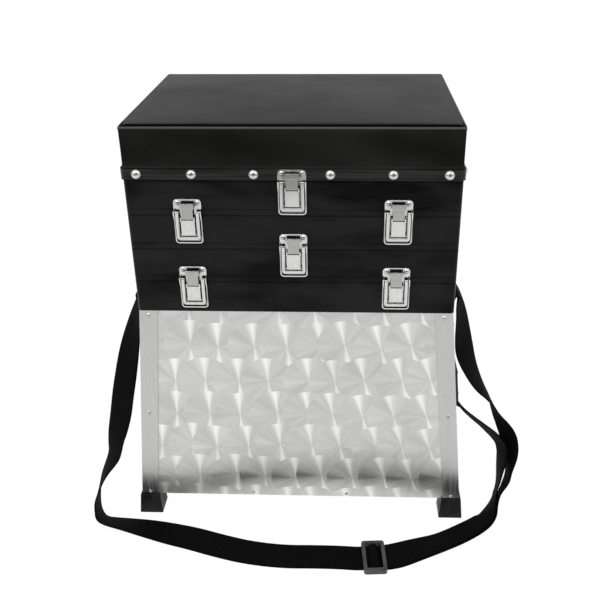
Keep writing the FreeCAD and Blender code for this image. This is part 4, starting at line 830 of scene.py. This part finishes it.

# %% Group: painted shade in recesses
recess_shading, start, end = new_group("Painted recess shade", [("Depth", FLOAT, 0.003)], [("Value", FLOAT)])
shade = recess_shading.nodes.new("ShaderNodeAmbientOcclusion")
shade.samples = 6
recess_shading.links.new(start.outputs["Depth"], shade.inputs["Distance"])
deepness = span(recess_shading, shade.outputs["AO"], 0.52, 0.92, 1.0, 0.0)
recess_shading.links.new(deepness, end.inputs["Value"])
print("recesses nodes", len(recess_shading.nodes))


# %% A starting point for every finish
def new_finish(name, colour, roughness, metallic=0.0, specular=0.5):
    """A principled material. Returns it with its tree and its shader."""
    material, tree = bare_material(name)
    shader = tree.nodes.new("ShaderNodeBsdfPrincipled")
    shader.inputs["Base Color"].default_value = (*colour, 1)
    shader.inputs["Roughness"].default_value = roughness
    shader.inputs["Metallic"].default_value = metallic
    shader.inputs["Specular IOR Level"].default_value = specular
    tree.links.new(shader.outputs[0], tree.nodes["Material Output"].inputs["Surface"])
    return material, tree, shader


def add_bump(tree, shader, height, distance, strength):
    """Bends the surface light by a height, in metres at distance."""
    bump = tree.nodes.new("ShaderNodeBump")
    bump.inputs["Strength"].default_value = strength
    bump.inputs["Distance"].default_value = distance
    tree.links.new(height, bump.inputs["Height"])
    tree.links.new(bump.outputs["Normal"], shader.inputs["Normal"])


# %% [markdown]
# Engine turning: a spinning abrasive peg is pressed on the sheet again and again, row by row.
# Each disc covers part of the one before it. Light runs along the circular scratches, so every
# disc shows a bright upright bow tie, and is blurrier above and below its middle than beside it.
# Here that bow tie is a painted highlight: the colour is lighter in its shape, and its lean grows
# across the panel as a real one's would.
# The group below finds the topmost disc at a point by trying nine neighbours in the order in
# which they were made.

# %% Group: one turned disc
PITCH_X = 0.0378
PITCH_Z = 0.0476
DISC_RADIUS = 0.0322
SCRATCH_PITCH = 0.0011
ROW_SLIDE = (0.62, 0, 0)
DISC_SLIDE = (0.34, 0.12, 0)
turned_disc, start, end = new_group(
    "Turned disc",
    [
        ("Point", VECTOR, (0, 0, 0)),
        ("Neighbour", VECTOR, (0, 0, 0)),
        ("Current", VECTOR, (0, 0, 0)),
    ],
    [("Offset", VECTOR)],
)


def random_slide(seed, reach):
    """A slide that differs from seed to seed, by up to half of reach either way."""
    noise = turned_disc.nodes.new("ShaderNodeTexWhiteNoise")
    turned_disc.links.new(seed, noise.inputs["Vector"])
    slide = vector_node(turned_disc, "SUBTRACT", noise.outputs["Color"], (0.5, 0.5, 0.5))
    return vector_node(turned_disc, "MULTIPLY", slide, reach)


pitch = (PITCH_X, PITCH_Z, 1)
cell = vector_node(turned_disc, "DIVIDE", start.outputs["Point"], pitch)
cell = vector_node(turned_disc, "FLOOR", cell)
cell = vector_node(turned_disc, "ADD", cell, start.outputs["Neighbour"])
row = vector_node(turned_disc, "MULTIPLY", cell, (0, 1, 0))
row_seed = vector_node(turned_disc, "ADD", row, (0, 0.37, 4.1))
cell_seed = vector_node(turned_disc, "ADD", cell, (0.21, 0.43, 2.2))
centre = vector_node(turned_disc, "ADD", cell, (0.5, 0.5, 0))
centre = vector_node(turned_disc, "ADD", centre, random_slide(row_seed, ROW_SLIDE))
centre = vector_node(turned_disc, "ADD", centre, random_slide(cell_seed, DISC_SLIDE))
centre = vector_node(turned_disc, "MULTIPLY", centre, pitch)
offset = vector_node(turned_disc, "SUBTRACT", start.outputs["Point"], centre)
offset = vector_node(turned_disc, "MULTIPLY", offset, (1, 1, 0))
distance = vector_node(turned_disc, "LENGTH", offset)
inside = math_node(turned_disc, "LESS_THAN", distance, DISC_RADIUS)
choose = turned_disc.nodes.new("ShaderNodeMix")
choose.data_type = "VECTOR"
turned_disc.links.new(inside, choose.inputs[0])
turned_disc.links.new(start.outputs["Current"], choose.inputs[4])
turned_disc.links.new(offset, choose.inputs[5])
turned_disc.links.new(choose.outputs[1], end.inputs["Offset"])
print("turned disc nodes", len(turned_disc.nodes))

# %% Group: engine turning
BOW_WAIST = 0.0014
BOW_SPREAD = 0.56
BOW_FLARE = 8.5
turning, start, end = new_group(
    "Engine turning",
    [("Point", VECTOR, (0, 0, 0)), ("Lean", FLOAT, 0.13), ("Lean rate", FLOAT, 1.25)],
    [("Painted bow", FLOAT), ("Fan", FLOAT), ("Rings", FLOAT), ("Across", FLOAT)],
)
current = vector_node(turning, "MULTIPLY", start.outputs["Point"], (0, 0, 0))
for up_row in (1, 0, -1):
    for column in (-1, 0, 1):
        disc = place_group(
            turning,
            turned_disc,
            Point=start.outputs["Point"],
            Neighbour=(column, up_row, 0),
            Current=current,
        )
        current = disc.outputs["Offset"]
split = turning.nodes.new("ShaderNodeSeparateXYZ")
turning.links.new(current, split.inputs[0])
whole = turning.nodes.new("ShaderNodeSeparateXYZ")
turning.links.new(start.outputs["Point"], whole.inputs[0])
# The painted bow tie leans by an amount that grows across the panel.
lean = math_node(
    turning, "MULTIPLY_ADD", whole.outputs["X"], start.outputs["Lean rate"], start.outputs["Lean"]
)
sideways = math_node(turning, "MULTIPLY_ADD", split.outputs["Y"], lean, split.outputs["X"])
sideways = math_node(turning, "ABSOLUTE", sideways)
height = math_node(turning, "ABSOLUTE", split.outputs["Y"])
widening = math_node(turning, "MULTIPLY_ADD", height, BOW_FLARE, BOW_SPREAD)
reach = math_node(turning, "MULTIPLY_ADD", height, widening, BOW_WAIST)
slope = math_node(turning, "DIVIDE", sideways, reach)
# The painted highlight: a factor that lightens the colour in a bow tie round each disc's upright
# line.
bow = span(turning, slope, 0.03, 0.33, 1.0, 0.0)
fade = span(turning, height, 0.0, 0.026, 0.55, 1.0)
halo = span(turning, slope, 0.2, 1.2, 1.0, 0.0)
bow = math_node(turning, "MULTIPLY", bow, fade)
bow = math_node(turning, "MULTIPLY_ADD", halo, 0.10, math_node(turning, "MULTIPLY", bow, 0.90))
turning.links.new(bow, end.inputs["Painted bow"])
turning.links.new(span(turning, slope, 0.3, 9.0, 1.0, 0.0), end.inputs["Across"])
spokes = turning.nodes.new("ShaderNodeTexNoise")
spokes.inputs["Scale"].default_value = 2.1
spokes.inputs["Detail"].default_value = 3
around = vector_node(turning, "NORMALIZE", current)
which = vector_node(turning, "SUBTRACT", start.outputs["Point"], current)
which = vector_node(turning, "MULTIPLY", which, (97.0, 97.0, 0))
turning.links.new(vector_node(turning, "ADD", around, which), spokes.inputs["Vector"])
turning.links.new(span(turning, spokes.outputs["Fac"], 0.3, 0.7), end.inputs["Fan"])
from_centre = vector_node(turning, "LENGTH", current)
scratches = math_node(turning, "MULTIPLY", from_centre, math.tau / SCRATCH_PITCH)
turning.links.new(math_node(turning, "SINE", scratches), end.inputs["Rings"])
print("engine turning nodes", len(turning.nodes))


# %% Turned aluminium
ROW_SHIFT = 0.0125


def turned_aluminium(name, swap):
    """Engine-turned sheet. swap reads the pattern from the side panels' own plane."""
    material, tree, shader = new_finish(name, (0.6, 0.6, 0.6), 0.24, metallic=0.88)
    place = tree.nodes.new("ShaderNodeTexCoord").outputs["Object"]
    parts = tree.nodes.new("ShaderNodeSeparateXYZ")
    tree.links.new(place, parts.inputs[0])
    plane = tree.nodes.new("ShaderNodeCombineXYZ")
    tree.links.new(parts.outputs["Y" if swap else "X"], plane.inputs["X"])
    tree.links.new(math_node(tree, "ADD", parts.outputs["Z"], ROW_SHIFT), plane.inputs["Y"])
    work = place_group(tree, turning, Point=plane.outputs[0])
    mottled = place_group(tree, unevenness, Scale=16.0, Low=0.3, High=0.7)
    # The colour is lighter in the bow tie, a painted highlight, with the fans and the mottling over
    # it.
    tone = math_node(tree, "MULTIPLY_ADD", work.outputs["Painted bow"], 0.74, 0.05)
    tone = math_node(tree, "MULTIPLY_ADD", work.outputs["Fan"], 0.26, tone)
    tone = math_node(tree, "MULTIPLY_ADD", mottled.outputs["Value"], 0.12, tone)
    colour = two_tone(tree, tone, (0.455, 0.455, 0.444), (0.95, 0.95, 0.945))
    tree.links.new(colour, shader.inputs["Base Color"])
    roughness = math_node(tree, "MULTIPLY_ADD", work.outputs["Across"], 0.13, 0.20)
    roughness = math_node(tree, "MULTIPLY_ADD", work.outputs["Painted bow"], 0.05, roughness)
    tree.links.new(roughness, shader.inputs["Roughness"])
    add_bump(tree, shader, work.outputs["Rings"], 0.00001, 0.05)
    return material


FINISHES = {}
FINISHES["front_turned"] = turned_aluminium("front_turned_aluminium", False)
FINISHES["side_turned"] = turned_aluminium("side_turned_aluminium", True)
print("finishes", len(FINISHES))


# %% [markdown]
# The profiles are drawn aluminium with fine grain along their length. The hinges and rivets
# are plainer plated metal, so they use the same finish with another grain.

# %% Brushed metals
def brushed_metal(name, colour, roughness, stretch, scale, contrast):
    """Metal with fine parallel scratches along the axis that stretch leaves out."""
    material, tree, shader = new_finish(name, colour, roughness, metallic=1.0)
    grain = place_group(tree, unevenness, Stretch=stretch, Scale=scale, Low=0.3, High=0.7)
    edge_light = place_group(tree, edge_lightening)
    low = tuple(c * (1 - contrast) for c in colour)
    high = tuple(min(c * (1 + contrast), 1) for c in colour)
    # Sharp edges are painted lighter over the grain, a painted edge highlight.
    tone = math_node(tree, "MULTIPLY_ADD", edge_light.outputs["Value"], 0.4, grain.outputs["Value"])
    tree.links.new(two_tone(tree, tone, low, high), shader.inputs["Base Color"])
    rough = math_node(tree, "MULTIPLY_ADD", grain.outputs["Value"], 0.12, roughness - 0.06)
    tree.links.new(rough, shader.inputs["Roughness"])
    add_bump(tree, shader, grain.outputs["Value"], 0.00001, 0.05)
    return material


FINISHES["profile"] = brushed_metal(
    "brushed_profile", (0.52, 0.52, 0.51), 0.29, (1, 1, 0.012), 1500.0, 0.08
)
FINISHES["mill"] = brushed_metal(
    "mill_aluminium", (0.62, 0.62, 0.61), 0.38, (0.03, 1, 1), 400.0, 0.08
)
FINISHES["steel"] = brushed_metal(
    "plated_steel", (0.50, 0.50, 0.49), 0.28, (1, 1, 1), 260.0, 0.05
)
FINISHES["rivet"] = brushed_metal(
    "rivet_aluminium", (0.56, 0.56, 0.55), 0.2, (1, 1, 1), 500.0, 0.10
)
print("finishes", len(FINISHES))

# %% [markdown]
# The latches, hooks and studs are plated and polished: grey flats with a faint haze. Their bright
# edges are a painted highlight and their dark crevices painted shade, from the two groups above.

# %% Polished metals
# The colour of the painted shade in crevices.
RECESS_SHADE = (0.03, 0.03, 0.03)


def polished_metal(name, flat, edge, roughness, radius=0.0006, depth=0.003):
    """Plating: grey flats with a faint haze, the edge colour as a painted highlight on the edges,
    and painted shade in the crevices.
    """
    material, tree, shader = new_finish(name, flat, roughness, metallic=1.0)
    haze = place_group(tree, unevenness, Stretch=(1, 1, 0.6), Scale=260.0, Low=0.35, High=0.7)
    edge_highlight = place_group(tree, edge_highlights, Radius=radius)
    recess_shade = place_group(tree, recess_shading, Depth=depth)
    low = tuple(c * 0.86 for c in flat)
    colour = two_tone(tree, haze.outputs["Value"], low, flat)
    # Over the haze: a painted highlight on the edges, then painted shade in the crevices.
    colour = cover(tree, edge_highlight.outputs["Value"], colour, edge)
    colour = cover(tree, recess_shade.outputs["Value"], colour, RECESS_SHADE)
    tree.links.new(colour, shader.inputs["Base Color"])
    rough = math_node(tree, "MULTIPLY_ADD", haze.outputs["Value"], 0.08, roughness)
    tree.links.new(rough, shader.inputs["Roughness"])
    add_bump(tree, shader, haze.outputs["Value"], 0.00003, 0.3)
    return material


FINISHES["chrome"] = polished_metal(
    "latch_chrome", (0.70, 0.70, 0.69), (1.0, 1.0, 0.99), 0.11, depth=0.0045
)
FINISHES["hook"] = polished_metal(
    "hook_chrome", (0.44, 0.44, 0.42), (0.98, 0.98, 0.97), 0.14, 0.0005, 0.0020
)
FINISHES["stud"] = polished_metal(
    "stud_nickel", (0.74, 0.74, 0.73), (0.80, 0.80, 0.79), 0.26, 0.0002
)
print("finishes", len(FINISHES))


# %% [markdown]
# The trays are black plastic with a wavy gloss: the moulding flow leaves long soft streaks of
# duller and shinier patches. The duller streaks are also painted lighter, a painted sheen.

# %% Black plastics
def moulded_plastic(name, colour, low, high, specular, stretch, scale, depth, lift=0.004):
    """Plastic whose gloss changes from low to high roughness in streaks. Its colour is lighter in
    the streaks and on sharp edges: a painted sheen and edge highlight.
    """
    material, tree, shader = new_finish(name, colour, low, specular=specular)
    streaks = place_group(tree, unevenness, Stretch=stretch, Scale=scale, Low=0.39, High=0.61)
    edge_light = place_group(tree, edge_lightening)
    speck = place_group(tree, unevenness, Scale=700.0, Low=0.3, High=0.7)
    # Painted sheen: the colour is lighter in the streaks and on sharp edges.
    painted_sheen = math_node(tree, "MULTIPLY_ADD", edge_light.outputs["Value"], 0.8, streaks.outputs["Value"])
    light = tuple(c * 2.2 + lift for c in colour)
    tree.links.new(two_tone(tree, painted_sheen, colour, light), shader.inputs["Base Color"])
    rough = span(tree, streaks.outputs["Value"], 0, 1, low, high)
    tree.links.new(rough, shader.inputs["Roughness"])
    relief = math_node(tree, "MULTIPLY_ADD", speck.outputs["Value"], 0.06, streaks.outputs["Value"])
    add_bump(tree, shader, relief, depth, 0.5)
    return material


FINISHES["tray"] = moulded_plastic(
    "tray_gloss_black",
    (0.0006, 0.0006, 0.0005),
    0.10,
    0.24,
    0.085,
    (0.8, 1, 2.2),
    11.0,
    0.0006,
    lift=0.0095,
)
FINISHES["trim"] = moulded_plastic(
    "trim_satin_black", (0.0060, 0.0060, 0.0057), 0.22, 0.34, 0.22, (0.3, 0.3, 12), 30.0, 0.0002
)
FINISHES["slider"] = moulded_plastic(
    "slider_grey_black", (0.026, 0.026, 0.027), 0.36, 0.50, 0.40, (1, 1, 1), 60.0, 0.0001
)
FINISHES["rubber"] = moulded_plastic(
    "foot_rubber", (0.0045, 0.0045, 0.0045), 0.42, 0.60, 0.14, (1, 1, 1), 80.0, 0.0002
)
FINISHES["bracket"] = moulded_plastic(
    "bracket_black", (0.006, 0.006, 0.006), 0.30, 0.42, 0.25, (1, 1, 1), 60.0, 0.0001
)
print("finishes", len(FINISHES))

# %% [markdown]
# Seat vinyl: satin black with a pebbled print so fine that it only softens the gloss. The top
# panel's colour is painted darker than the sides', a painted shade against the light on it.
# The seam's bead carries a painted highlight, and the valley beside the seam painted shade.

# %% Vinyl
PEBBLE_SCALE = 900
vinyl, tree, shader = new_finish("seat_vinyl", (0.006, 0.006, 0.006), 0.38, specular=0.032)
place = tree.nodes.new("ShaderNodeTexCoord").outputs["Object"]
pebbles = tree.nodes.new("ShaderNodeTexVoronoi")
pebbles.inputs["Scale"].default_value = PEBBLE_SCALE
tree.links.new(place, pebbles.inputs["Vector"])
patches = place_group(tree, unevenness, Scale=9.0, Low=0.35, High=0.65)
creases = place_group(tree, unevenness, Stretch=(1, 1, 2), Scale=45.0, Low=0.35, High=0.65)
parts = tree.nodes.new("ShaderNodeSeparateXYZ")
tree.links.new(place, parts.inputs[0])
from_side = math_node(tree, "SUBTRACT", half_x, math_node(tree, "ABSOLUTE", parts.outputs["X"]))
from_front = math_node(tree, "SUBTRACT", half_y, math_node(tree, "ABSOLUTE", parts.outputs["Y"]))
from_edge = math_node(tree, "MINIMUM", from_side, from_front)
BEAD_LOW = EDGE_Z - 0.0042
BEAD_FULL = EDGE_Z - 0.0034
BEAD_BACK = 0.0026
VALLEY_BACK = 0.0066
at_front = span(tree, parts.outputs["Y"], 0.012 - half_y, 0.015 - half_y, 1.0, 0.0)
above = span(tree, parts.outputs["Z"], BEAD_LOW, BEAD_FULL)
on_top = span(tree, from_edge, 0.0008, 0.0020)
near = span(tree, from_front, BEAD_BACK, BEAD_BACK + 0.0006, 1.0, 0.0)
on_bead = math_node(tree, "MULTIPLY", above, near)
on_bead = math_node(tree, "MULTIPLY", on_bead, at_front)
behind = span(tree, from_front, BEAD_BACK, BEAD_BACK + 0.0008)
before = span(tree, from_front, VALLEY_BACK - 0.0008, VALLEY_BACK, 1.0, 0.0)
in_valley = math_node(tree, "MULTIPLY", behind, before)
in_valley = math_node(tree, "MULTIPLY", in_valley, at_front)
side = two_tone(tree, patches.outputs["Value"], (0.0080, 0.0080, 0.0074), (0.0160, 0.0160, 0.0154))
# Painted light on the vinyl: a highlight on the bead, shade in the valley, and a darker top.
BEAD_HIGHLIGHT = (0.066, 0.066, 0.064)
VALLEY_SHADE = (0.0008, 0.0008, 0.0008)
TOP_SHADE = (0.0036, 0.0036, 0.0032)
painted = side
for mask, tone in ((on_top, TOP_SHADE), (on_bead, BEAD_HIGHLIGHT), (in_valley, VALLEY_SHADE)):
    painted = cover(tree, mask, painted, tone)
tree.links.new(painted, shader.inputs["Base Color"])
rough = math_node(tree, "MULTIPLY_ADD", in_valley, 0.6, 0.32)
rough = math_node(tree, "MULTIPLY_ADD", patches.outputs["Value"], 0.06, rough)
tree.links.new(rough, shader.inputs["Roughness"])
relief = math_node(
    tree, "MULTIPLY_ADD", pebbles.outputs["Distance"], 0.35, creases.outputs["Value"]
)
add_bump(tree, shader, relief, 0.00022, 0.3)
FINISHES["vinyl"] = vinyl
print("vinyl nodes", len(tree.nodes))

# %% [markdown]
# Webbing: thick cross ribs from the weft, with finer warp threads over them. The pattern
# reads the strap's own map, whose first value is the distance along it.

# %% Webbing weave
RIB_PITCH = 0.0023
THREAD_PITCH = 0.0016
webbing_finish, tree, shader = new_finish(
    "strap_webbing", (0.006, 0.006, 0.0062), 0.66, specular=0.02
)
spot = tree.nodes.new("ShaderNodeUVMap")
spot.uv_map = "along"
parts = tree.nodes.new("ShaderNodeSeparateXYZ")
tree.links.new(spot.outputs[0], parts.inputs[0])
ribs = math_node(tree, "MULTIPLY", parts.outputs["X"], math.tau / RIB_PITCH)
threads = math_node(tree, "MULTIPLY", parts.outputs["Y"], math.tau / THREAD_PITCH)
shift = math_node(tree, "MULTIPLY", math_node(tree, "SINE", threads), 1.1)
ribs = math_node(tree, "SINE", math_node(tree, "ADD", ribs, shift))
fuzz = place_group(tree, unevenness, Scale=1500.0, Low=0.3, High=0.7)
weave = math_node(tree, "MULTIPLY_ADD", fuzz.outputs["Value"], 0.5, ribs)
edge = math_node(tree, "ABSOLUTE", parts.outputs["Y"])
selvedge = span(tree, edge, 0.0165, 0.0180)
tone = span(tree, ribs, 0.2, 1.0)
tone = math_node(tree, "MULTIPLY_ADD", selvedge, -0.25, tone)
yarn = two_tone(tree, tone, (0.0003, 0.0003, 0.0004), (0.0130, 0.0130, 0.0134))
tree.links.new(yarn, shader.inputs["Base Color"])
add_bump(tree, shader, weave, 0.00022, 0.8)
FINISHES["webbing"] = webbing_finish
print("webbing nodes", len(tree.nodes))

# %% [markdown]
# The board under the seat shows only its underside, when the lid is open. It is plywood with
# long grain.

# %% Plywood
plywood, tree, shader = new_finish("lid_plywood", (0.5, 0.36, 0.2), 0.6)
grain = place_group(tree, unevenness, Stretch=(0.08, 1, 1), Scale=160.0, Low=0.35, High=0.65)
wood = two_tone(tree, grain.outputs["Value"], (0.36, 0.24, 0.13), (0.60, 0.45, 0.28))
tree.links.new(wood, shader.inputs["Base Color"])
add_bump(tree, shader, grain.outputs["Value"], 0.0002, 0.4)
FINISHES["plywood"] = plywood
print("plywood nodes", len(tree.nodes))


# %% [markdown]
# Each material slot of the record has one finish. The side panels use the turned finish in
# their own plane, and the bottom panel is plain mill aluminium.

# %% Put each finish on its parts
def paint(piece, finish):
    """Gives every slot of a piece one finish."""
    if not piece.data.materials:
        piece.data.materials.append(FINISHES[finish])
    for slot in piece.material_slots:
        slot.material = FINISHES[finish]


FINISH_OF_SLOT = {
    "panel_aluminium": "front_turned",
    "profile_aluminium": "profile",
    "foot_rubber": "rubber",
    "tray_plastic": "tray",
    "latch_steel": "chrome",
    "hook_chrome": "hook",
    "hinge_steel": "steel",
    "rivet_metal": "rivet",
    "stud_chrome": "stud",
    "seat_wood": "plywood",
    "seat_foam": "vinyl",
    "seat_vinyl": "vinyl",
    "trim_plastic": "trim",
    "strap_webbing": "webbing",
    "slider_plastic": "slider",
    "clamp_steel": "steel",
    "bracket_black": "bracket",
}
for node, part in nodes.items():
    paint(part, FINISH_OF_SLOT[slot_of[node]])
for node, part in rounded.items():
    paint(part, FINISH_OF_SLOT[slot_of[node]])
for node in ("left_panel", "right_panel"):
    paint(nodes[node], "side_turned")
paint(nodes["bottom_panel"], "mill")
paint(shoulder_strap, "webbing")
paint(return_strap, "webbing")
paint(cushion, "vinyl")
print("finishes", len(FINISHES))
